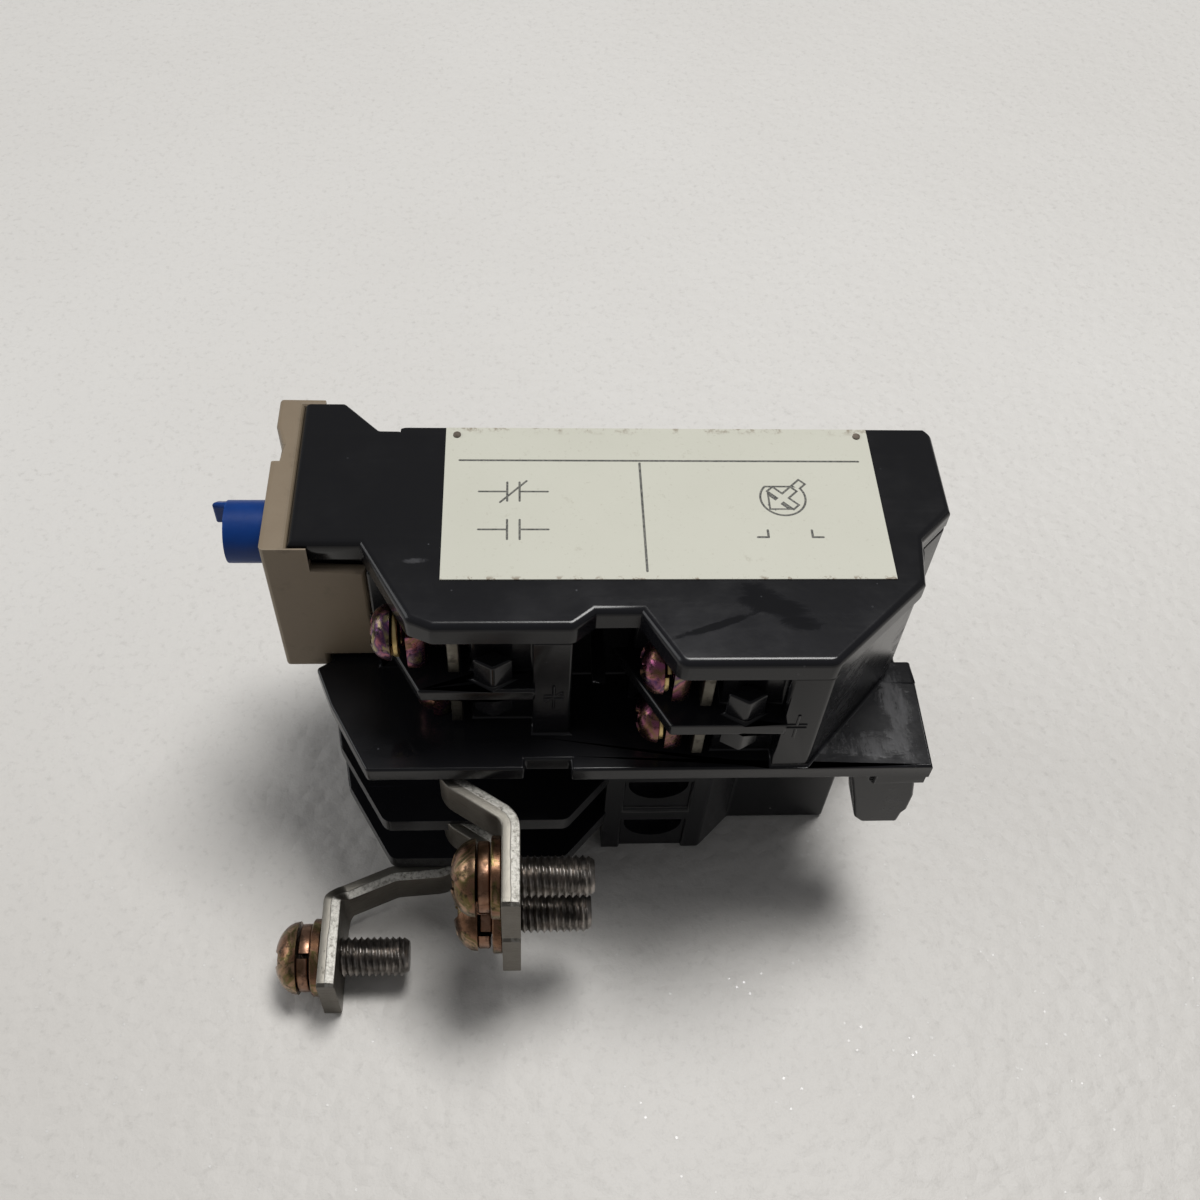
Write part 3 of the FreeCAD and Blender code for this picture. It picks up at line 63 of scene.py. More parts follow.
def toRelay(point):
    return (np.asarray(point, float) - relayZero) / mm


def nodeBox(node):
    low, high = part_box(node)
    return toRelay(low), toRelay(high)


def makePiece(name, part, body, material, smooth=35.0):
    # part is (points, faces) in relay axes; a fourth column is kept as the attribute "hollow".
    # Doubles are merged, then faces turned outward.
    points, faces = part
    points = np.asarray(points).reshape(-1, np.shape(points)[-1])
    mesh = bpy.data.meshes.new(name)
    mesh.from_pydata(toFrame(points[:, :3]).tolist(), [], [list(map(int, f)) for f in faces])
    mesh.materials.append(material)
    if points.shape[1] == 4:
        hollow = mesh.attributes.new("hollow", "FLOAT", "POINT")
        hollow.data.foreach_set("value", points[:, 3].astype(np.float32))
    work = bmesh.new()
    work.from_mesh(mesh)
    bmesh.ops.remove_doubles(work, verts=work.verts, dist=weld)
    bmesh.ops.recalc_face_normals(work, faces=work.faces)
    work.to_mesh(mesh)
    work.free()
    mesh.shade_smooth()
    mesh.set_sharp_from_angle(angle=math.radians(smooth))
    piece = bpy.data.objects.new(name, mesh)
    bpy.context.scene.collection.objects.link(piece)
    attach(piece, body)
    return piece


def gridFaces(rows, columns, loopRows=False, loopColumns=False):
    # quads between neighbours of a rows by columns grid, loops closed where asked
    i = np.arange(rows if loopRows else rows - 1)[:, None]
    j = np.arange(columns if loopColumns else columns - 1)[None, :]
    nextI = (i + 1) % rows
    nextJ = (j + 1) % columns
    quads = np.stack([i * columns + j, nextI * columns + j, nextI * columns + nextJ, i * columns + nextJ], -1)
    return quads.reshape(-1, 4)


def closedTube(rings):
    # rings (count, around, 3) joined in order, each end drawn in to its own middle
    caps = [rings[k].mean(0)[None, None].repeat(rings.shape[1], 1) for k in (0, -1)]
    rings = np.concatenate([caps[0], rings, caps[1]])
    return rings, gridFaces(len(rings), rings.shape[1], loopColumns=True)


def joinParts(parts):
    # several (points, faces) lists as one
    points, faces, count = [], [], 0
    for somePoints, someFaces in parts:
        somePoints = np.asarray(somePoints, float).reshape(-1, np.shape(somePoints)[-1])
        points.append(somePoints)
        faces += (np.asarray(someFaces) + count).tolist()
        count += len(somePoints)
    return np.concatenate(points), faces


def gridRim(sheet):
    # the border points of a square grid, in order round it
    return np.concatenate([sheet[:-1, 0], sheet[-1, :-1], sheet[:0:-1, -1], sheet[0, :0:-1]])


def posed(part, at, roll=0.0):
    # rolled about x, then carried to a point in relay axes
    points, faces = part
    turn = np.array(Matrix.Rotation(roll, 3, "X"))
    points = np.asarray(points).reshape(-1, np.shape(points)[-1])
    return np.hstack([points[:, :3] @ turn.T + np.array(at, float), points[:, 3:]]), faces


sharpAngle = math.radians(28.0)
flatAngle = math.radians(3.0)
mergeAngle = math.radians(0.6)
broadFace = 2.0 * mm     # narrower faces that meet at less than the sharp angle are strips of a round
needs = dict(edge=3.0, face=1.4, beside=1.15)     # least sizes round an edge, in widths of its rounding
facetShaded = {"front_cover"}     # nodes of many small flats, whose fine rounding is shaded face by face


def leastSpan(edge):
    # how wide the narrower of the two faces at an edge is
    return min(face.calc_area() / max(e.calc_length() for e in face.edges) for face in edge.link_faces)


def hasRoom(edge, width):
    # an edge is rounded where it is sharp, long enough, and no face or neighbour beside it is too narrow
    if edge.calc_face_angle(0.0) < sharpAngle or edge.calc_length() < needs["edge"] * width:
        return False
    besides = [e.calc_length() for vert in edge.verts for e in vert.link_edges if e is not edge]
    return leastSpan(edge) > needs["face"] * width and min(besides) > needs["beside"] * width


def isCrease(edge):
    angle = edge.calc_face_angle(0.0)
    return angle > sharpAngle or (angle > flatAngle and leastSpan(edge) > broadFace)


def eased(node, name, body, material, width=0.3, steps=3):
    # The node's own solid with its roomy edges rounded. Its triangles are merged into flat faces first, and
    # the larger face at a corner rules the shading there. With no steps its edges stay as they are.
    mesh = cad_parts[node].data.copy()
    mesh.name = name
    mesh.materials.clear()
    mesh.materials.append(material)
    work = bmesh.new()
    work.from_mesh(mesh)
    bmesh.ops.remove_doubles(work, verts=work.verts, dist=weld)
    bmesh.ops.dissolve_limit(work, angle_limit=mergeAngle, verts=work.verts, edges=work.edges)
    weight = work.edges.layers.float.new("bevel_weight_edge")
    for face in work.faces:
        face.smooth = steps > 0 and node not in facetShaded
        face.material_index = 0
    for edge in work.edges:
        edge[weight] = float(hasRoom(edge, width * mm))
        edge.smooth = edge[weight] > 0 or not isCrease(edge)
    work.to_mesh(mesh)
    work.free()
    piece = bpy.data.objects.new(name, mesh)
    bpy.context.scene.collection.objects.link(piece)
    if steps:
        rounding = piece.modifiers.new("edges", "BEVEL")
        rounding.width = width * mm
        rounding.segments = steps
        rounding.limit_method = "WEIGHT"
        rounding.use_clamp_overlap = False
        if node not in facetShaded:
            shading = piece.modifiers.new("flats", "WEIGHTED_NORMAL")
            shading.weight = 100
            shading.keep_sharp = True
    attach(piece, body)
    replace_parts(piece, node)
    return piece


class Sock:
    # a shader socket that takes part in ordinary arithmetic
    def __init__(self, paint, socket):
        self.paint = paint
        self.socket = socket

    def math(self, operation, *values):
        return self.paint.node("ShaderNodeMath", {"operation": operation}, dict(enumerate(values)))

    def __add__(self, other):
        return self.math("ADD", self, other)

    def __radd__(self, other):
        return self.math("ADD", other, self)

    def __sub__(self, other):
        return self.math("SUBTRACT", self, other)

    def __rsub__(self, other):
        return self.math("SUBTRACT", other, self)

    def __mul__(self, other):
        return self.math("MULTIPLY", self, other)

    def __rmul__(self, other):
        return self.math("MULTIPLY", other, self)

    def __truediv__(self, other):
        return self.math("DIVIDE", self, other)

    def __pow__(self, other):
        return self.math("POWER", self, other)

    def less(self, limit):
        return self.math("LESS_THAN", self, limit)

    def size(self):
        return self.math("ABSOLUTE", self)

    def least(self, other):
        return self.math("MINIMUM", self, other)

    def most(self, other):
        return self.math("MAXIMUM", self, other)

    def rise(self, low, high, start=0.0, end=1.0):
        # smooth step from start at low to end at high
        return self.paint.node("ShaderNodeMapRange", {"interpolation_type": "SMOOTHSTEP"},
                               {0: self, 1: low, 2: high, 3: start, 4: end})


class Paint:
    # one material: fixed numbers go straight to the shader, the rest is linked in afterwards
    def __init__(self, name, color, roughness, **fixed):
        self.material = bpy.data.materials.new(name)
        self.material.use_nodes = True
        self.tree = self.material.node_tree
        self.tree.nodes.clear()
        self.shader = self.tree.nodes.new("ShaderNodeBsdfPrincipled")
        output = self.tree.nodes.new("ShaderNodeOutputMaterial")
        self.tree.links.new(self.shader.outputs[0], output.inputs[0])
        self.shader.inputs["Base Color"].default_value = (*color, 1.0)
        self.shader.inputs["Roughness"].default_value = roughness
        for word, value in fixed.items():
            self.shader.inputs[word.replace("_", " ")].default_value = value
        self.where = self.node("ShaderNodeTexCoord", out="Object")

    def node(self, kind, settings=None, values=None, out=0):
        made = self.tree.nodes.new(kind)
        for word, setting in (settings or {}).items():
            if word == "stops":
                self.setStops(made.color_ramp, setting)
            else:
                setattr(made, word, setting)
        for key, value in (values or {}).items():
            self.feed(made.inputs[key], value)
        return Sock(self, made.outputs[out])

    def setStops(self, ramp, stops):
        while len(ramp.elements) < len(stops):
            ramp.elements.new(0.5)
        for element, (position, color) in zip(ramp.elements, stops):
            element.position = position
            element.color = (*color, 1.0)

    def feed(self, socket, value):
        if isinstance(value, Sock):
            self.tree.links.new(value.socket, socket)
        elif socket.type == "RGBA":
            socket.default_value = (*value, 1.0)
        else:
            socket.default_value = value

    def vary(self, **fed):
        for word, value in fed.items():
            self.feed(self.shader.inputs[word.replace("_", " ")], value)

    def spots(self):
        # object x, y and z, each as a number
        made = self.node("ShaderNodeSeparateXYZ", None, {0: self.where}).socket.node
        return [Sock(self, made.outputs[i]) for i in range(3)]

    def stretched(self, scale):
        return self.node("ShaderNodeMapping", {"vector_type": "POINT"},
                         {"Vector": self.where, "Scale": scale})

    def noise(self, scale, detail=3.0, rough=0.5, where=None, warp=0.0):
        return self.node("ShaderNodeTexNoise", None,
                         {"Vector": where or self.where, "Scale": scale, "Detail": detail,
                          "Roughness": rough, "Distortion": warp})

    def cells(self, scale):
        return self.node("ShaderNodeTexVoronoi", None, {"Vector": self.where, "Scale": scale})

    def mix(self, factor, first, second):
        return self.node("ShaderNodeMix", {"data_type": "RGBA"}, {0: factor, 6: first, 7: second}, out=2)

    def ramp(self, value, stops):
        return self.node("ShaderNodeValToRGB", {"stops": stops}, {0: value})

    def rubbedEdge(self, width):
        # 0 on open faces, rising to 1 round edges that hands and tools rub
        soft = self.node("ShaderNodeBevel", {"samples": 4}, {"Radius": width * mm})
        flat = self.node("ShaderNodeNewGeometry", out="Normal")
        same = self.node("ShaderNodeVectorMath", {"operation": "DOT_PRODUCT"}, {0: soft, 1: flat},
                         out="Value")
        return (1 - same).rise(0.01, 0.25)

    def bump(self, height, depth):
        self.vary(Normal=self.node("ShaderNodeBump", None,
                                   {"Height": height, "Distance": depth * mm, "Strength": 1.0}))


phenolic = dict(deep=(0.0080, 0.0081, 0.0092), rubbed=(0.024, 0.024, 0.030), gloss=0.17, refraction=1.37)


def startBlack(name):
    # what all the black mouldings share: patches, fine grain, wiping strokes and rubbed edges
    paint = Paint(name, phenolic["deep"], phenolic["gloss"], IOR=phenolic["refraction"])
    patches = paint.noise(95, 4, 0.6)
    fine = paint.noise(900, 3, 0.6)
    wiped = paint.noise(60, 4, 0.65, paint.stretched((1.0, 7.0, 1.0)), 0.4)
    return paint, patches, fine, wiped, paint.rubbedEdge(0.35)


def mouldedBlack():
    # glossy black phenolic: fine orange peel, dull handled patches, a few pale dust specks, greyed edges
    look = dict(wornAndSheen=(0.0100, 0.0101, 0.0122), dust=(0.16, 0.155, 0.15), **phenolic)
    paint, patches, fine, wiped, edge = startBlack("blackMoulding")
    scratch = paint.noise(150, 5, 0.7, paint.stretched((1.0, 14.0, 6.0)), 0.6).rise(0.60, 0.66)
    dull = patches.rise(0.42, 0.7) * 0.06 + wiped.rise(0.5, 0.72) * 0.03
    speck = paint.cells(430).less(0.06) * paint.noise(120, 2).rise(0.54, 0.62)
    color = paint.mix(patches.rise(0.3, 0.75), look["deep"], look["wornAndSheen"])
    color = paint.mix(scratch * wiped.rise(0.48, 0.6) * 0.35, color, look["rubbed"])
    color = paint.mix(edge * fine.rise(0.3, 0.6) * 0.25, color, look["rubbed"])
    paint.vary(Base_Color=paint.mix(speck, color, look["dust"]),
               Roughness=(look["gloss"] + dull - edge * 0.06 + speck * 0.4 + fine * 0.05).least(0.8))
    paint.bump(paint.noise(1700, 2) * 0.5 + patches * 1.2, 0.010)
    return paint.material


def scuffedBlack(area):
    # The same black where a greasy thumb mark and dry scuffs lie on a flat face. Marks fill ellipses given
    # in relay axes; their borders are broken up by noise and they are drawn out along x.
    look = dict(wornAndSheen=(0.0104, 0.0105, 0.0128), pale=(0.060, 0.060, 0.067), **phenolic)
    paint, patches, fine, wiped, edge = startBlack("blackMoulding" + area["name"])
    x, y = paint.spots()[:2]
    x = (x - relayZero[0]) / mm
    y = (y - relayZero[1]) / mm
    torn = paint.noise(420, 5, 0.7, paint.stretched((0.35, 1.0, 1.0)), 0.8)

    def marks(spots):
        total = 0.0
        for midX, midY, halfX, halfY, slant in spots:
            across = (x - midX) / halfX
            along = (y - midY - (x - midX) * slant) / halfY
            away = (across * across + along * along) ** 0.5 + (torn - 0.5) * 2.2
            total = away.rise(0.55, 1.05, 1.0, 0.0) + total
        return total.least(1.0)

    grease = marks(area["grease"])
    dry = paint.noise(500, 5, 0.75, paint.stretched((1.0, 0.3, 1.0))).rise(0.38, 0.70)
    scuff = marks(area["scuffs"]) * dry
    # painted sheen: the colour is lighter towards the near side, except where the grease lies
    paintedSheen = (1 - y.rise(area["sheenFrom"], area["sheenTo"])) * (1 - grease)
    color = paint.mix(paintedSheen * (0.55 + patches.rise(0.3, 0.75) * 0.45), look["deep"], look["wornAndSheen"])
    color = paint.mix(edge * fine.rise(0.3, 0.6) * 0.25, color, look["rubbed"])
    speck = paint.cells(430).less(0.06) * paint.noise(120, 2).rise(0.50, 0.60)
    color = paint.mix(speck.most(scuff * 0.55), color, look["pale"])
    shine = look["gloss"] + patches.rise(0.42, 0.7) * 0.06 + wiped.rise(0.5, 0.72) * 0.03 + fine * 0.03
    shine = (shine - grease * 0.12 - edge * 0.06 + scuff * 0.25).least(0.8).most(0.06)
    paint.vary(Base_Color=color, Roughness=shine)
    paint.bump(paint.noise(1700, 2) * 0.5 + patches * 1.2 + scuff * 0.8, 0.010)
    return paint.material


def mouldedBeige():
    # satin beige moulding, grimy in patches and lighter on its rubbed edges
    look = dict(dark=(0.195, 0.150, 0.102), light=(0.255, 0.203, 0.142), grime=(0.10, 0.075, 0.05),
                rubbed=(0.33, 0.275, 0.21))
    paint = Paint("beigeMoulding", look["light"], 0.5, IOR=1.4)
    cloud = paint.noise(110, 4, 0.6)
    grime = paint.noise(260, 5, 0.7).rise(0.55, 0.78)
    color = paint.mix(cloud, look["dark"], look["light"])
    color = paint.mix(grime * 0.45, color, look["grime"])
    color = paint.mix(paint.rubbedEdge(0.45) * 0.5, color, look["rubbed"])
    paint.vary(Base_Color=color, Roughness=0.40 + cloud * 0.16 + grime * 0.1)
    paint.bump(paint.noise(2600, 2) * 0.7 + cloud * 0.8, 0.02)
    return paint.material


def mouldedBlue():
    # deep blue moulding, scuffed lighter along the edges that a finger and a screwdriver reach
    look = dict(dark=(0.0010, 0.022, 0.125), light=(0.002, 0.046, 0.24), rubbed=(0.02, 0.12, 0.42))
    paint = Paint("blueMoulding", look["light"], 0.35, IOR=1.36)
    cloud = paint.noise(220, 4, 0.6)
    scuff = paint.noise(700, 5, 0.7, paint.stretched((1, 1, 6)))
    color = paint.mix(cloud, look["dark"], look["light"])
    color = paint.mix(paint.rubbedEdge(0.3) * scuff.rise(0.45, 0.6) * 0.7, color, look["rubbed"])
    paint.vary(Base_Color=color, Roughness=0.30 + scuff * 0.2)
    paint.bump(paint.noise(1500) + scuff, 0.012)
    return paint.material


def plainMoulding(name, color, shade):
    paint = Paint(name, color, 0.5, IOR=1.5)
    cloud = paint.noise(180, 4, 0.6)
    paint.vary(Base_Color=paint.mix(cloud, color, shade), Roughness=0.42 + cloud * 0.18)
    paint.bump(paint.noise(1800) + cloud, 0.015)
    return paint.material


def printedPlate():
    # Cream coated plate. Its print is worked out from the plate's own corner: u back, v towards the near
    # edge, both in mm. Brown stains creep in from the far edge, chips break the near one.
    lay = dict(pale=(0.55, 0.548, 0.465), cream=(0.615, 0.613, 0.53), ink=(0.022, 0.022, 0.021),
               stain=(0.16, 0.10, 0.05), grime=(0.27, 0.235, 0.16), half=0.14, head=5.2, left=1.7, right=48.3,
               divide=22.5, cellTop=5.6, cellEnd=21.5, signU=38.7, signV=10.9, signRadius=2.6, signFlat=1.75,
               slotHalf=0.48, slotReach=1.95, arrowTip=2.35, arrowBase=0.75, flagStart=2.2, flagEnd=3.5,
               signLine=0.13, diagonal=0.7071)
    leaders = [((35.2, 16.7), (36.4, 16.7)), ((36.4, 16.7), (36.4, 15.7)),
               ((41.4, 15.7), (41.4, 16.7)), ((41.4, 16.7), (42.6, 16.7))]
    # two contacts, one closed at rest and one open, as on any wiring diagram
    contacts = [((4.0, 10.0), (7.2, 10.0)), ((7.2, 8.6), (7.2, 11.4)), ((8.6, 8.6), (8.6, 11.4)),
                ((8.6, 10.0), (11.8, 10.0)), ((6.4, 11.6), (9.4, 8.4)),
                ((4.0, 15.6), (7.2, 15.6)), ((7.2, 14.2), (7.2, 17.0)), ((8.6, 14.2), (8.6, 17.0)),
                ((8.6, 15.6), (11.8, 15.6))]
    paint = Paint("ratingPlate", lay["cream"], 0.42, IOR=1.5)
    x, y = paint.spots()[:2]
    u = (x - plateLow.x) / mm
    v = (plateHigh.y - y) / mm
    wobble = paint.noise(5200, 2) - 0.5

    def stroke(start, end, half):
        # distance from the nearest point of a straight line, cut at half its width
        du, dv = end[0] - start[0], end[1] - start[1]
        share = (((u - start[0]) * du + (v - start[1]) * dv) / (du * du + dv * dv)).least(1.0).most(0.0)
        a = u - start[0] - share * du
        b = v - start[1] - share * dv
        return ((a * a + b * b) ** 0.5 + wobble * 0.08).less(half)

    ink = stroke((lay["left"], lay["head"]), (lay["right"], lay["head"]), lay["half"])
    ink = ink.most(stroke((lay["divide"], lay["cellTop"]), (lay["divide"], lay["cellEnd"]), lay["half"]))
    for start, end in leaders:
        ink = ink.most(stroke(start, end, lay["half"]))
    for start, end in contacts:
        ink = ink.most(stroke(start, end, lay["half"] * 0.9))
    # the rod's end: a round head with a flat and a flag, and a crossed slot with an arrow
    across = u - lay["signU"]
    down = v - lay["signV"]
    right = (across + down) * lay["diagonal"]
    left = (down - across) * lay["diagonal"]
    head = ((across * across + down * down) ** 0.5 - lay["signRadius"]).most(0 - down - lay["signFlat"])
    flagMiddle = (lay["flagStart"] + lay["flagEnd"]) / 2
    flagHalf = (lay["flagEnd"] - lay["flagStart"]) / 2
    flag = (right.size() - lay["slotHalf"]).most((left + flagMiddle).size() - flagHalf)
    slotOne = (right.size() - lay["slotHalf"]).most(left.size() - lay["slotReach"])
    slotTwo = (left.size() - lay["slotHalf"]).most(right.size() - lay["slotReach"])
    arrow = (right.size() + left - lay["arrowTip"]).most(lay["arrowBase"] - left) * 0.8
    for outline in (head.least(flag), slotOne.least(slotTwo).least(arrow)):
        ink = ink.most((outline.size() + wobble * 0.06).less(lay["signLine"]))
    stain = paint.noise(520, 6, 0.75).rise(0.50, 0.66) * v.rise(0.0, 1.3, 1.0, 0.0)
    chips = paint.noise(1100, 4, 0.7).rise(0.55, 0.60) * v.rise(22.0, 22.55)
    cloud = paint.noise(70, 4, 0.6)
    freckle = paint.noise(2400, 3, 0.7).rise(0.60, 0.74) * 0.22
    color = paint.mix(cloud, lay["pale"], lay["cream"])
    color = paint.mix(freckle, color, lay["grime"])
    color = paint.mix(stain * 0.75, color, lay["stain"])
    color = paint.mix(paint.noise(330, 6, 0.8).rise(0.62, 0.72) * 0.25, color, lay["grime"])
    color = paint.mix(ink * (0.86 + wobble), color, lay["ink"])
    paint.vary(Base_Color=paint.mix(chips * 0.7, color, lay["stain"]),
               Roughness=0.40 + cloud * 0.2 + stain * 0.2)
    paint.bump(paint.noise(3000, 2) * 0.6 + ink * 0.8, 0.006)
    return paint.material


plating = dict(sootAndShade=(0.020, 0.015, 0.012), depth=0.012, hollowShade=1.2)


def platedMetal(name, stops, shine, patch, dirtAndShade):
    # plated metal whose tint drifts through a run of colours, dirty in patches, darkened with painted shade
    # in its hollows, finely scratched
    paint = Paint(name, stops[0][1], shine, Metallic=1.0)
    drift = paint.noise(patch, 3, 0.55, warp=0.8)
    scratch = paint.noise(2600, 4, 0.65, paint.stretched((1.0, 3.0, 1.0)))
    hollow = paint.node("ShaderNodeAttribute", {"attribute_name": "hollow"}, out="Fac").rise(0.25, 0.9)
    # painted shade: cross recesses and thread roots, read from the hollow attribute, are darkened with the
    # grime colour
    grime = paint.noise(850, 5, 0.7).rise(0.50, 0.66).most(hollow * plating["hollowShade"])
    color = paint.ramp(drift.rise(0.28, 0.72), stops)
    paint.vary(Base_Color=paint.mix(grime * dirtAndShade, color, plating["sootAndShade"]),
               Roughness=(shine + grime * 0.25 * dirtAndShade + scratch * 0.14).least(0.9))
    paint.bump(scratch * 0.8 + drift * 0.6 + grime * 0.5, plating["depth"])
    return paint.material


def shearedTin():
    # dull tinned copper: drawn faces wiped brown-grey, granular where it was sheared, a few dark nicks
    look = dict(dark=(0.085, 0.073, 0.058), light=(0.20, 0.187, 0.163), brown=(0.085, 0.068, 0.05),
                smooth=(0.24, 0.228, 0.20), grain=(0.62, 0.605, 0.56), nick=(0.05, 0.04, 0.03))
    paint = Paint("tinnedBar", look["light"], 0.4, Metallic=1.0)
    normal = paint.node("ShaderNodeNewGeometry", out="Normal")
    upright = paint.node("ShaderNodeSeparateXYZ", None, {0: normal}).socket.node
    sheared = Sock(paint, upright.outputs[2]).size().rise(0.55, 0.9)     # top and bottom edges were cut
    cloud = paint.noise(150, 4, 0.6)
    crumb = paint.noise(1900, 5, 0.75)
    drawn = paint.noise(420, 4, 0.6, paint.stretched((1.0, 1.0, 8.0)))
    nick = paint.noise(640, 4, 0.7).rise(0.67, 0.72)
    color = paint.mix(cloud, look["dark"], look["light"])
    color = paint.mix(drawn.rise(0.5, 0.75) * 0.6, color, look["brown"])
    torn = paint.node("ShaderNodeAttribute", {"attribute_name": "hollow"}, out="Fac") + (cloud - 0.5) * 0.25
    torn = torn.rise(0.46, 0.54) * sheared     # the far half of a cut edge is granular
    # cut top and bottom edges are lighter: partly their own bare cut finish, partly painted highlight for the
    # light the tops catch from above
    color = paint.mix(sheared * 0.8, color, look["smooth"])
    color = paint.mix(torn * crumb.rise(0.3, 0.6), color, look["grain"])
    color = paint.mix(nick * 0.6, color, look["nick"])
    paint.vary(Base_Color=color, Roughness=0.34 + crumb * 0.2 + nick * 0.2 + torn * 0.1)
    paint.bump(crumb * (0.35 + torn * 1.8) + drawn * 0.4 - nick, 0.05)
    return paint.material


def pebbledFloor():
    # pale foamed sheet: small soft pebbles, glints among them, faint grey drifts, and painted shade darkening
    # it towards the near side
    look = dict(nearShade=(-0.10, 0.10), shade=(0.58, 0.555, 0.52), light=(0.77, 0.76, 0.735),
                pit=(0.40, 0.385, 0.36), glint=(0.92, 0.92, 0.91))
    paint = Paint("paleFloor", look["light"], 0.55)
    cloud = paint.noise(9, 4, 0.6)
    pebble = paint.cells(380).rise(0.0, 0.8, 1.0, 0.0)
    crumb = paint.noise(900, 4, 0.7)
    glint = paint.cells(620).less(0.12) * paint.noise(90, 3).rise(0.48, 0.60)
    y = paint.spots()[1]
    # painted shade: the colour darkens towards the near side (lower y), mixed half and half with the drifts
    color = paint.mix(cloud * 0.5 + y.rise(*look["nearShade"]) * 0.5, look["shade"], look["light"])
    color = paint.mix(crumb.rise(0.5, 0.8) * 0.35, color, look["pit"])
    paint.vary(Base_Color=paint.mix(glint * 0.3, color, look["glint"]), Roughness=0.5 - glint * 0.25)
    paint.bump(pebble * 0.7 + crumb * 0.6 + glint * 0.2, 0.16)
    return paint.material


print("mixing materials")
# the last two numbers of each set bound, in y, the painted sheen that lightens the near part of the face
coverMarks = dict(name="Cover", grease=[(53.0, -26.3, 4.6, 2.3, -0.5), (46.5, -28.8, 5.5, 0.5, 0.35)],
                  scuffs=[(14.0, -20.0, 1.6, 0.5, 0.0), (34.0, -30.8, 2.6, 0.3, 0.0)],
                  sheenFrom=-31.0, sheenTo=-20.0)
deckMarks = dict(name="Deck", grease=[(12.0, -31.0, 5.0, 1.2, 0.1)],
                 scuffs=[(62.0, -27.5, 2.6, 6.0, 0.0), (71.2, -26.0, 2.0, 8.5, 0.0),
                         (66.5, -31.2, 5.0, 1.8, 0.0)],
                 sheenFrom=-40.0, sheenTo=-26.0)
blackCase = mouldedBlack()
blackCover = scuffedBlack(coverMarks)
blackDeck = scuffedBlack(deckMarks)
beige = mouldedBeige()
blue = mouldedBlue()
plate = printedPlate()
pale = plainMoulding("paleMoulding", (0.55, 0.52, 0.43), (0.66, 0.63, 0.54))
dialWhite = plainMoulding("dialMoulding", (0.68, 0.67, 0.62), (0.76, 0.75, 0.70))
inkBlack = plainMoulding("dialInk", (0.02, 0.02, 0.02), (0.035, 0.035, 0.035))
pinkZinc = platedMetal(
    "pinkZinc", [(0.0, (0.30, 0.085, 0.18)), (0.3, (0.20, 0.12, 0.06)), (0.5, (0.42, 0.16, 0.19)),
                 (0.74, (0.10, 0.045, 0.12)), (1.0, (0.30, 0.25, 0.11))], 0.18, 340, 0.92)
oliveZinc = platedMetal(
    "oliveZinc", [(0.0, (0.12, 0.062, 0.034)), (0.35, (0.24, 0.13, 0.08)), (0.6, (0.13, 0.11, 0.04)),
                  (0.8, (0.36, 0.22, 0.14)), (1.0, (0.10, 0.10, 0.045))], 0.22, 260, 0.75)
copperWash = platedMetal(
    "copperWash", [(0.0, (0.20, 0.10, 0.06)), (0.5, (0.32, 0.185, 0.125)), (1.0, (0.16, 0.09, 0.05))],
    0.24, 260, 0.65)
darkThread = platedMetal(
    "darkThread", [(0.0, (0.16, 0.15, 0.14)), (0.5, (0.26, 0.24, 0.22)), (1.0, (0.40, 0.36, 0.33))],
    0.24, 520, 0.4)
nickel = platedMetal("nickelPlate", [(0.0, (0.12, 0.11, 0.09)), (1.0, (0.24, 0.225, 0.19))], 0.3, 300, 0.5)
brass = platedMetal("contactBrass", [(0.0, (0.62, 0.44, 0.18)), (1.0, (0.70, 0.54, 0.26))], 0.3, 300, 0.3)
springSteel = platedMetal(
    "springSteel", [(0.0, (0.42, 0.43, 0.45)), (1.0, (0.55, 0.56, 0.58))], 0.28, 300, 0.3)
rivetDark = platedMetal("rivetDark", [(0.0, (0.10, 0.085, 0.07)), (1.0, (0.20, 0.17, 0.14))], 0.4, 500, 0.6)
band = platedMetal("heaterBand", [(0.0, (0.36, 0.33, 0.29)), (1.0, (0.50, 0.46, 0.40))], 0.4, 300, 0.4)
tin = shearedTin()


print("easing the mouldings")
eased("side_cover", "sideCoverSkin", "relay", blackCover, 0.32)
eased("mechanism_case", "mechanismCaseSkin", "relay", blackDeck, 0.35)
eased("power_case", "powerCaseSkin", "relay", blackCase, 0.35)
eased("rear_cover", "rearCoverSkin", "relay", blackCase, 0.3)
eased("front_cover", "frontCoverSkin", "relay", beige, 0.5)
eased("rating_label", "ratingPlateSkin", "relay", plate, steps=0)
eased("reset_rod", "resetRodSkin", "reset_turner", blue, 0.3)
eased("adjusting_dial", "dialSkin", "dial", dialWhite, 0.2)
eased("test_rod", "testRodSkin", "test", beige, 0.2)
for node in ("nc_terminal_upper", "nc_terminal_lower", "no_terminal_upper", "no_terminal_lower"):
    eased(node, node.replace("_", "") + "Skin", "relay", nickel, 0.15, 2)
for i in "123":
    eased("load_terminal_" + i, "loadTerminal" + i, "relay", tin, 0.15, 2)

# solids whose own shape is right only need their finish
finishes = {
    "label_rivets": rivetDark, "case_screws": pinkZinc, "transfer_bar": pale, "reset_slider": pale,
    "reset_spring": springSteel, "adjusting_lever": springSteel, "compensating_lever": band,
    "trip_lever": pale, "nc_blade": brass, "no_blade": brass, "snap_spring": springSteel,
    "pivot_pins": springSteel, "heater_1": band, "heater_2": band, "heater_3": band,
    "bimetal_1": band, "bimetal_2": band, "bimetal_3": band}
for node, material in finishes.items():
    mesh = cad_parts[node].data
    mesh.materials.clear()
    mesh.materials.append(material)


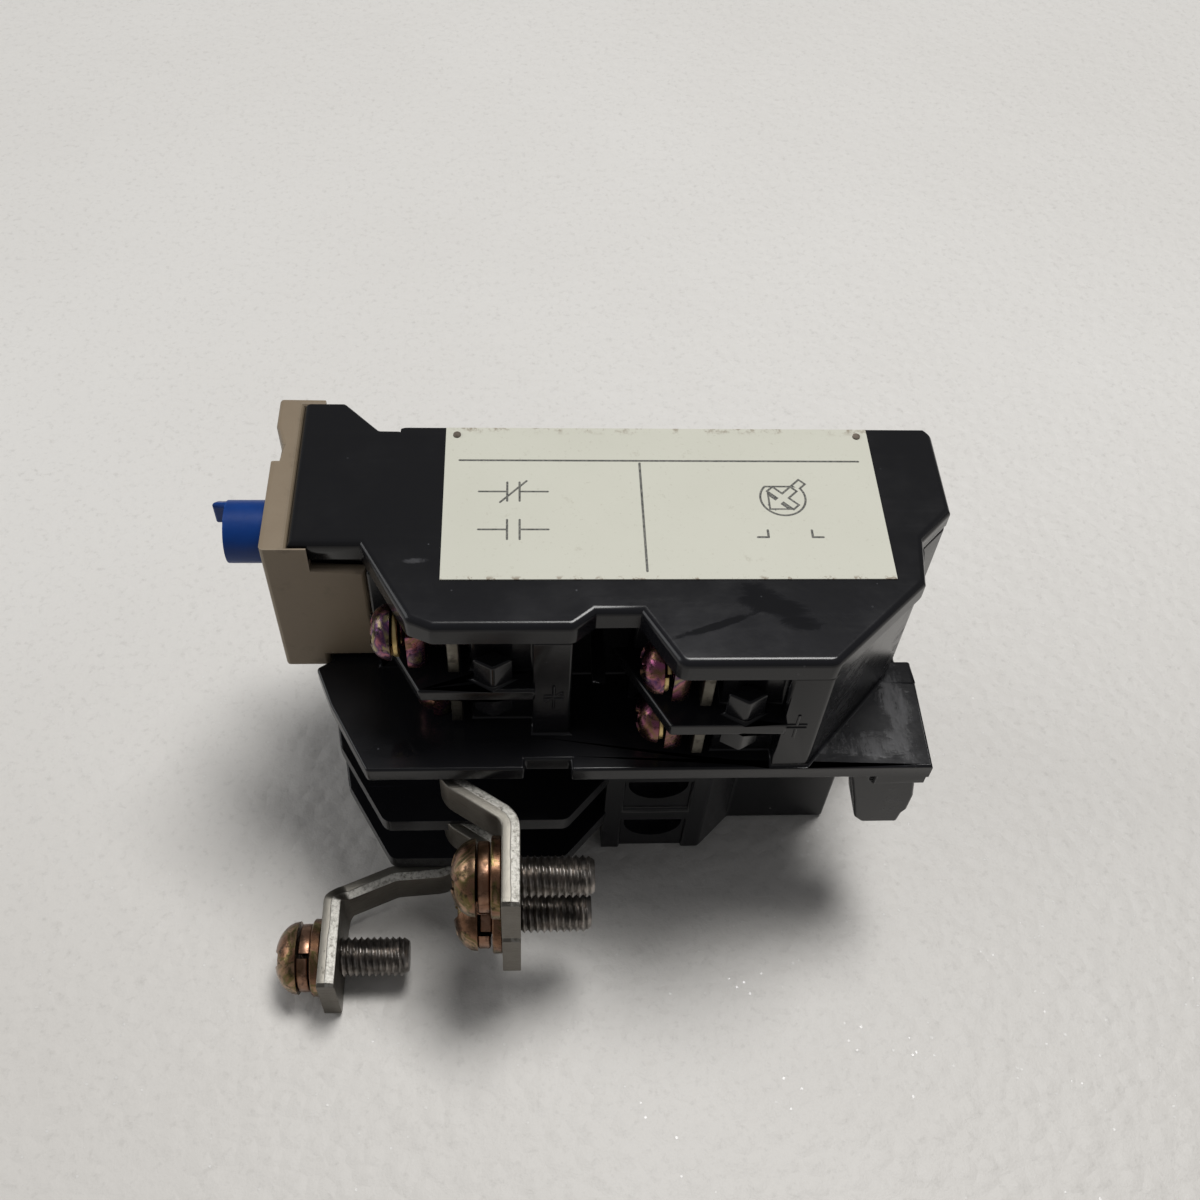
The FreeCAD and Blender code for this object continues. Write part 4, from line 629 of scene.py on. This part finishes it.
def roundedPath(corners, radius, step=0.25):
    # Straight runs joined by arcs: each corner is replaced by a circle that touches both of its runs.
    corners = [np.array(c, float) for c in corners]
    points = [corners[0]]
    for before, corner, after in zip(corners, corners[1:], corners[2:]):
        into = (corner - before) / np.linalg.norm(corner - before)
        out = (after - corner) / np.linalg.norm(after - corner)
        bend = math.acos(np.clip(into @ out, -1, 1))
        side = out - into * (into @ out)
        side /= np.linalg.norm(side)
        start = corner - into * radius * math.tan(bend / 2)
        t = np.linspace(0, bend, max(4, int(bend * radius / step)))[:, None]
        points += list(start + side * radius * (1 - np.cos(t)) + into * radius * np.sin(t))
    points.append(corners[-1])
    return np.array(points)


def strapSurface(path, low, high, thick, ease):
    # A rounded rectangle carried along a path in plan: each section stands upright and square to the path,
    # thick wide, its height running from low to high at that station. Its top rolls down on the far side,
    # as a sheared edge does, and the share across it is kept as the hollow.
    ahead = np.gradient(path, axis=0)
    ahead /= np.linalg.norm(ahead, axis=1)[:, None]
    side = np.stack([-ahead[:, 1], ahead[:, 0]], -1)
    q = np.linspace(0, math.pi / 2, 5)
    inX = (1 - np.sin(q)) * ease
    inZ = (1 - np.cos(q)) * ease
    half = thick / 2
    across = np.concatenate([-half + inX[::-1], [0.1 * half], half - inX, half - inX[::-1], -half + inX])
    drop = np.concatenate([inZ[::-1], [0], inZ + bar["roll"], -inZ[::-1], -inZ])
    topHalf = np.arange(len(across)) <= len(across) / 2
    across, drop, topHalf = (a[None, :] for a in (across, drop, topHalf))
    z = np.where(topHalf, high[:, None], low[:, None]) - drop
    x = path[:, :1] + side[:, :1] * across
    y = path[:, 1:] + side[:, 1:] * across
    return closedTube(np.stack([x, y, z, (across + half) / thick + 0 * z], -1))


bar = dict(thick=2.2, bendRadius=2.6, ease=0.2, roll=0.18, corner=0.4, strip=5.4, flare=1.6,
           rootX=16.9, rootY=-7.4, bendY=-33.0, tabX=24.4, tabBend=-38.1, tabEnd=-49.1,
           kneeY=-33.9, lowKnee=(9.0, -34.5), lowTab=(1.6, -37.7), lowEnd=-50.3, stripTops=(7.8, 20.1, 30.25),
           tabStations=12, tabLead=0.3, endRun=1.0, flareLead=0.6)


def busBar(i):
    node = f"bus_bar_{i + 1}"
    low, high = nodeBox(node)
    root = (bar["rootX"], bar["rootY"])
    if i == 0:
        corners = [root, (bar["rootX"], bar["kneeY"]), bar["lowKnee"], bar["lowTab"],
                   (bar["lowTab"][0], bar["lowEnd"])]
    else:
        corners = [root, (bar["rootX"], bar["bendY"]), (bar["tabX"], bar["tabBend"]),
                   (bar["tabX"], bar["tabEnd"])]
    bend, end = corners[-2][1], corners[-1][1]
    bent = roundedPath(corners, bar["bendRadius"])
    bent = bent[bent[:, 1] > bend - bar["bendRadius"]][:-1]
    # stations down the tab, closer where the corners of its end are cut
    stations = np.linspace(bent[-1, 1] - bar["tabLead"], end + bar["endRun"], bar["tabStations"])
    stations = np.concatenate([stations, end + bar["corner"] * np.array([1, 0.5, 0])])
    path = np.concatenate([bent, np.stack([np.full(len(stations), corners[-1][0]), stations], -1)])
    y = path[:, 1]
    onTab = np.abs(path[:, 0] - corners[-1][0]) < bar["thick"]
    grow = np.clip((bend + bar["flareLead"] - y) / bar["flare"], 0, 1) * onTab
    cut = np.clip(end + bar["corner"] - y, 0, bar["corner"]) * onTab
    top = bar["stripTops"][i]
    tops = top + (high[2] - top) * grow - cut
    lows = top - bar["strip"] + (low[2] - top + bar["strip"]) * grow + cut
    strap = strapSurface(path, lows, tops, bar["thick"], bar["ease"])
    piece = makePiece(f"busBar{i + 1}", strap, "relay", tin, 40)
    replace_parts(piece, node)


for i in range(3):
    busBar(i)
print("bus bars done")


headGather = 0.9      # below 1, grid lines stand closer near the rim of a head
headSkin = 0.02       # least height left under a recess


def crossHead(head, cells=64):
    # Domed screw head with a cross recess, top towards -x. A square grid (u, v) in -1..1 is pressed into a
    # disc: y = u sqrt(1 - v2/2), z = v sqrt(1 - u2/2). Height is tall (1 - rho^power)^(1/rise), and the
    # recess takes away depth where a point lies within half an arm's width of either axis and inside its
    # length, with sloping walls.
    line = np.linspace(-1, 1, cells + 1)
    line = np.sign(line) * np.abs(line) ** headGather
    u, v = np.meshgrid(line, line, indexing="ij")
    disc = np.stack([u * np.sqrt(1 - v * v / 2), v * np.sqrt(1 - u * u / 2)])
    rho = np.minimum(np.hypot(*disc), 1.0)
    height = head["tall"] * (1 - rho ** head["power"]) ** (1 / head["rise"])
    y, z = disc * head["radius"]
    slope = head["armSlope"]

    def arm(across, along):
        inside = np.clip((head["armWide"] / 2 + slope - np.abs(across)) / slope, 0, 1)
        reach = np.clip((head["armLong"] - np.abs(along)) / head["armRun"], 0, 1)
        return inside * reach

    recess = np.maximum(arm(y, z), arm(z, y))
    top = np.stack([-np.maximum(height - head["depth"] * recess, headSkin), y, z, recess], -1)
    # the flat underside is rings from the rim to the middle
    rim = gridRim(top)
    rings = np.stack([rim, rim * [0, 1, 1, 0], rim * [0, 0.5, 0.5, 0], rim * 0])
    return joinParts([(top, gridFaces(cells + 1, cells + 1)),
                      (rings, gridFaces(4, len(rim), loopColumns=True))])


thread = dict(flank=0.8, tipTurns=1.2, tipDepth=1.5)     # tip values are shares of the pitch and the depth


def threadedShank(shank, steps=44, rowsPerTurn=8):
    # Radius falls from crest to root along a helix: radius - depth |2 frac(x/pitch - a/2pi) - 1|^flank,
    # drawn in over the last turn or so at the tip.
    x = np.linspace(0, shank["length"], int(shank["length"] / shank["pitch"] * rowsPerTurn))[:, None]
    a = np.arange(steps)[None, :] * tau / steps
    phase = (x / shank["pitch"] - a / tau) % 1.0
    root = np.abs(2 * phase - 1) ** thread["flank"]
    radius = shank["radius"] - shank["depth"] * root
    tip = np.clip((shank["length"] - x) / (thread["tipTurns"] * shank["pitch"]), 0, 1)
    radius = np.minimum(radius, shank["radius"] - shank["depth"] * thread["tipDepth"] * (1 - tip))
    return closedTube(np.stack([x + 0 * a, radius * np.cos(a), radius * np.sin(a), root], -1))


def splitWasher(ring, steps=72, around=20):
    # Superellipse section, nearly square, swept through a turn less the split; x climbs with the angle so
    # that the two ends stand apart by the lift.
    t = np.linspace(0, 1, steps)[:, None]
    a = ring["angle"] + ring["gap"] / 2 + t * (tau - ring["gap"])
    b = np.arange(around)[None, :] * tau / around
    across = np.sign(np.cos(b)) * np.abs(np.cos(b)) ** ring["corner"]
    up = np.sign(np.sin(b)) * np.abs(np.sin(b)) ** ring["corner"]
    radius = (ring["outer"] + ring["inner"]) / 2 + across * (ring["outer"] - ring["inner"]) / 2
    x = ring["thick"] / 2 + up * (ring["thick"] - ring["lift"]) / 2 + ring["lift"] * (t - 0.5)
    return closedTube(np.stack([x, radius * np.cos(a), radius * np.sin(a)], -1))


def flatRing(inner, outer, thick, steps=72, ease=0.14):
    # an eight-cornered section turned about x
    section = np.array([(ease, outer), (0, outer - ease), (0, inner + ease), (ease, inner),
                        (thick - ease, inner), (thick, inner + ease), (thick, outer - ease),
                        (thick - ease, outer)])
    a = np.arange(steps)[None, :] * tau / steps
    x, radius = section[:, :1], section[:, 1:]
    return np.stack([x + 0 * a, radius * np.cos(a), radius * np.sin(a)], -1), gridFaces(8, steps, True, True)


cup = dict(ease=0.06, square=8, curl=1.1, flat=0.72, bend=1.5)


def cupWasher(half, thick, cells=24):
    # Square plate, its corners eased by (1 - ease v^square), with two edges curling up towards the head.
    line = np.linspace(-1, 1, cells + 1)
    u, v = np.meshgrid(line, line, indexing="ij")
    y = u * half * (1 - cup["ease"] * v ** cup["square"])
    z = v * half * (1 - cup["ease"] * u ** cup["square"])
    curl = -cup["curl"] * np.clip((np.abs(u) - cup["flat"]) / (1 - cup["flat"]), 0, 1) ** cup["bend"]
    front = np.stack([curl, y, z], -1)
    rear = np.stack([curl + thick, y, z], -1)
    rims = np.stack([gridRim(front), gridRim(rear)])
    faces = gridFaces(cells + 1, cells + 1)
    return joinParts([(front, faces), (rear, faces), (rims, gridFaces(2, rims.shape[1], loopColumns=True))])


def loosePieces(node):
    # low and high corners of each separate solid in a node, nearest the line side first
    work = bmesh.new()
    work.from_mesh(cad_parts[node].data)
    bmesh.ops.remove_doubles(work, verts=work.verts, dist=weld)
    left = set(work.verts)
    found = []
    while left:
        stack = [left.pop()]
        island = []
        while stack:
            vert = stack.pop()
            island.append(vert.co[:])
            near = {edge.other_vert(vert) for edge in vert.link_edges} & left
            left -= near
            stack += near
        island = np.array(island)
        found.append((toRelay(island.min(0)), toRelay(island.max(0))))
    work.free()
    return sorted(found, key=lambda ends: (round(ends[0][1] + ends[1][1]), ends[0][2]))


busScrew = dict(
    head=dict(radius=4.5, tall=3.0, power=2.3, rise=1.9, armWide=1.0, armLong=2.7,
              armRun=0.5, armSlope=0.35, depth=1.7),
    shank=dict(radius=2.5, length=13.8, pitch=0.8, depth=0.42), rolls=[0.5, 0.2, 0.9])
auxScrew = dict(
    head=dict(radius=3.2, tall=2.4, power=2.6, rise=2.1, armWide=0.8, armLong=2.0,
              armRun=0.4, armSlope=0.28, depth=1.3),
    shank=dict(radius=1.75, length=9.2, pitch=0.6, depth=0.32), rolls=[0.3, 0.9, 0.5, 1.2])
loadScrew = dict(
    head=dict(radius=3.4, tall=2.6, power=2.5, rise=2.1, armWide=0.85, armLong=2.2,
              armRun=0.4, armSlope=0.3, depth=1.4),
    shank=dict(radius=2.0, length=10.0, pitch=0.7, depth=0.36), rolls=[0.4, 0.1, 1.0])


def screws(node, name, screw, headFinish, shankFinish):
    heads, shanks = [], []
    for roll, (low, high) in zip(screw["rolls"], loosePieces(node)):
        at = (low[0] + screw["head"]["tall"], (low[1] + high[1]) / 2, (low[2] + high[2]) / 2)
        heads.append(posed(crossHead(screw["head"]), at, roll))
        shanks.append(posed(threadedShank(screw["shank"]), at))
    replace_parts(makePiece(name + "Heads", joinParts(heads), "relay", headFinish, 40), node)
    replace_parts(makePiece(name + "Threads", joinParts(shanks), "relay", shankFinish, 55), node)


def rings(node, name, make, finish):
    parts = []
    for k, (low, high) in enumerate(loosePieces(node)):
        at = (low[0], (low[1] + high[1]) / 2, (low[2] + high[2]) / 2)
        parts.append(posed(make(k, (high[1] - low[1]) / 2, high[0] - low[0]), at))
    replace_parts(makePiece(name, joinParts(parts), "relay", finish, 40), node)


spring = dict(bore=0.64, gap=0.16, lift=0.3, firstSplit=1.9, nextSplit=0.7, corner=0.35)
flatBore = 0.56


def springRing(k, half, thick):
    return splitWasher(dict(outer=half, inner=half * spring["bore"], thick=thick, gap=spring["gap"],
                            lift=spring["lift"], angle=spring["firstSplit"] + spring["nextSplit"] * k,
                            corner=spring["corner"]))


def flatWasher(k, half, thick):
    return flatRing(half * flatBore, half, thick)


def squareWasher(k, half, thick):
    return cupWasher(half, thick)


screws("bus_screws", "busScrew", busScrew, oliveZinc, darkThread)
screws("aux_screws", "auxScrew", auxScrew, pinkZinc, pinkZinc)
screws("load_screws", "loadScrew", loadScrew, oliveZinc, darkThread)
rings("bus_spring_washers", "busSpringWashers", springRing, copperWash)
rings("bus_flat_washers", "busFlatWashers", flatWasher, oliveZinc)
rings("aux_spring_washers", "auxSpringWashers", springRing, brass)
rings("aux_square_washers", "auxSquareWashers", squareWasher, pinkZinc)
rings("load_washers", "loadSquareWashers", squareWasher, oliveZinc)
print("screws done")


def ridge(start, end, wide, proud, y):
    # A low half-round bar on a face that looks along -y: a half ellipse, wide by proud, carried along a
    # line from start to end in x and z.
    start, end = np.array(start, float), np.array(end, float)
    ahead = (end - start) / np.linalg.norm(end - start)
    side = np.array([-ahead[1], ahead[0]])
    b = np.linspace(0, tau, 16, endpoint=False)[None, :]
    along = np.array([0.0, 0.3, 0.7, 1.0])[:, None]
    x = start[0] + (end - start)[0] * along + side[0] * wide / 2 * np.cos(b)
    z = start[1] + (end - start)[1] * along + side[1] * wide / 2 * np.cos(b)
    return closedTube(np.stack([x, y - proud * np.sin(b) + 0 * along, z], -1))


# Contact signs moulded beside the cells: two short bars across a lead, and a stroke through the closed pair.
# Each stroke is given from the sign's middle, in mm along x and z.
sign = dict(wide=0.38, proud=0.13, bars=[((-1.15, 0.32), (1.15, 0.32)), ((-1.15, -0.32), (1.15, -0.32)),
                                         ((0, 0.32), (0, 2.3)), ((0, -0.32), (0, -2.3))],
            closed=((-1.0, -1.0), (1.0, 1.0)), places=[(29.3, 41.4, -29.0, True), (56.4, 42.4, -33.7, False)])
marks = []
for x, z, y, isClosed in sign["places"]:
    for start, end in sign["bars"] + [sign["closed"]] * isClosed:
        marks.append(ridge((x + start[0], z + start[1]), (x + end[0], z + end[1]),
                           sign["wide"], sign["proud"], y))
makePiece("contactSigns", joinParts(marks), "relay", blackCase, 60)


def figureMesh(text, size):
    # a number's outline as a flat mesh, about its own middle, in mm
    curve = bpy.data.curves.new("figure", "FONT")
    curve.body = text
    curve.size = size
    curve.align_x = "CENTER"
    curve.align_y = "CENTER"
    holder = bpy.data.objects.new("figure", curve)
    mesh = bpy.data.meshes.new_from_object(holder)
    points = np.array([v.co[:] for v in mesh.vertices])
    faces = [list(p.vertices) for p in mesh.polygons]
    bpy.data.objects.remove(holder)
    return points, faces


# Plain numbers and ticks round the edge of the current dial, on the end that looks along -x.
scale = dict(figures=["4", "5", "6", "7", "8", "9"], size=1.15, ring=2.75, firstTick=3.45, lastTick=3.95,
             tickHalf=0.06, start=-2.05, sweep=4.1, lift=0.02, ink=0.01)


def dialFigures():
    low, high = nodeBox("adjusting_dial")
    middle = (low[1:] + high[1:]) / 2
    points, faces, count = [], [], 0
    for k, figure in enumerate(scale["figures"]):
        angle = scale["start"] + scale["sweep"] * k / (len(scale["figures"]) - 1)
        out = np.array([-math.sin(angle), math.cos(angle)])      # y and z, seen from the front
        along = np.array([-out[1], out[0]])
        glyph, quads = figureMesh(figure, scale["size"])
        flat = middle + out * scale["ring"] + glyph[:, :1] * along + glyph[:, 1:2] * out
        tick = np.array([[scale["firstTick"], -1], [scale["firstTick"], 1],
                         [scale["lastTick"], 1], [scale["lastTick"], -1]])
        line = middle + out * tick[:, :1] + along * tick[:, 1:] * scale["tickHalf"]
        for part, shape in ((flat, quads), (line, [[0, 1, 2, 3]])):
            points.append(np.column_stack([np.full(len(part), low[0] - scale["lift"]), part]))
            faces += [[v + count for v in face] for face in shape]
            count += len(part)
    piece = makePiece("dialFigures", (np.concatenate(points), faces), "dial", inkBlack)
    piece.modifiers.new("ink", "SOLIDIFY").thickness = scale["ink"] * mm


dialFigures()
print("signs and figures done")

floorHalf = 2.2
floorTop = -0.0002
corner = np.array([[-1, -1], [1, -1], [1, 1], [-1, 1]]) * floorHalf
floorMesh = bpy.data.meshes.new("floor")
floorMesh.from_pydata([(x, y, floorTop) for x, y in corner.tolist()], [], [(0, 1, 2, 3)])
floor = bpy.data.objects.new("floor", floorMesh)
bpy.context.scene.collection.objects.link(floor)
floorMesh.materials.append(pebbledFloor())


def softLight(name, at, size, power, color):
    lamp = bpy.data.lights.new(name, "AREA")
    lamp.shape = "RECTANGLE"
    lamp.size, lamp.size_y = size
    lamp.energy = power
    lamp.color = color
    holder = bpy.data.objects.new(name, lamp)
    holder.location = at
    holder.rotation_euler = Vector(at).to_track_quat("Z", "Y").to_euler()
    bpy.context.scene.collection.objects.link(holder)


lamps = {"ceilingLight": dict(at=(0.20, 0.24, 1.08), size=(0.42, 0.34), power=9.4, color=(1.0, 0.99, 0.975)),
         "windowLight": dict(at=(-1.0, 0.10, 0.50), size=(0.7, 0.6), power=3.2, color=(0.98, 0.99, 1.0))}
for name, lamp in lamps.items():
    softLight(name, **lamp)
room = dict(color=(0.80, 0.80, 0.82), strength=0.20)
world = bpy.data.worlds.new("room")
world.use_nodes = True
background = world.node_tree.nodes["Background"]
background.inputs[0].default_value = (*room["color"], 1)
background.inputs[1].default_value = room["strength"]
bpy.context.scene.world = world

view = dict(lens=39.4527, at=(-0.006903, -0.0915125, 0.1675771), right=(0.998285, -0.037053, 0.045333),
            up=(0.002496, 0.800509, 0.599316), away=(-0.058496, -0.598174, 0.799228), sensor=36.0, near=0.01)
camera = bpy.data.objects.new("camera", bpy.data.cameras.new("camera"))
camera.data.lens = view["lens"]
camera.data.sensor_width = view["sensor"]
camera.data.clip_start = view["near"]
turn = Matrix((view["right"], view["up"], view["away"])).transposed()
camera.matrix_world = Matrix.Translation(view["at"]) @ turn.to_4x4()
bpy.context.scene.collection.objects.link(camera)
bpy.context.scene.camera = camera
bpy.context.scene.view_settings.view_transform = "Standard"
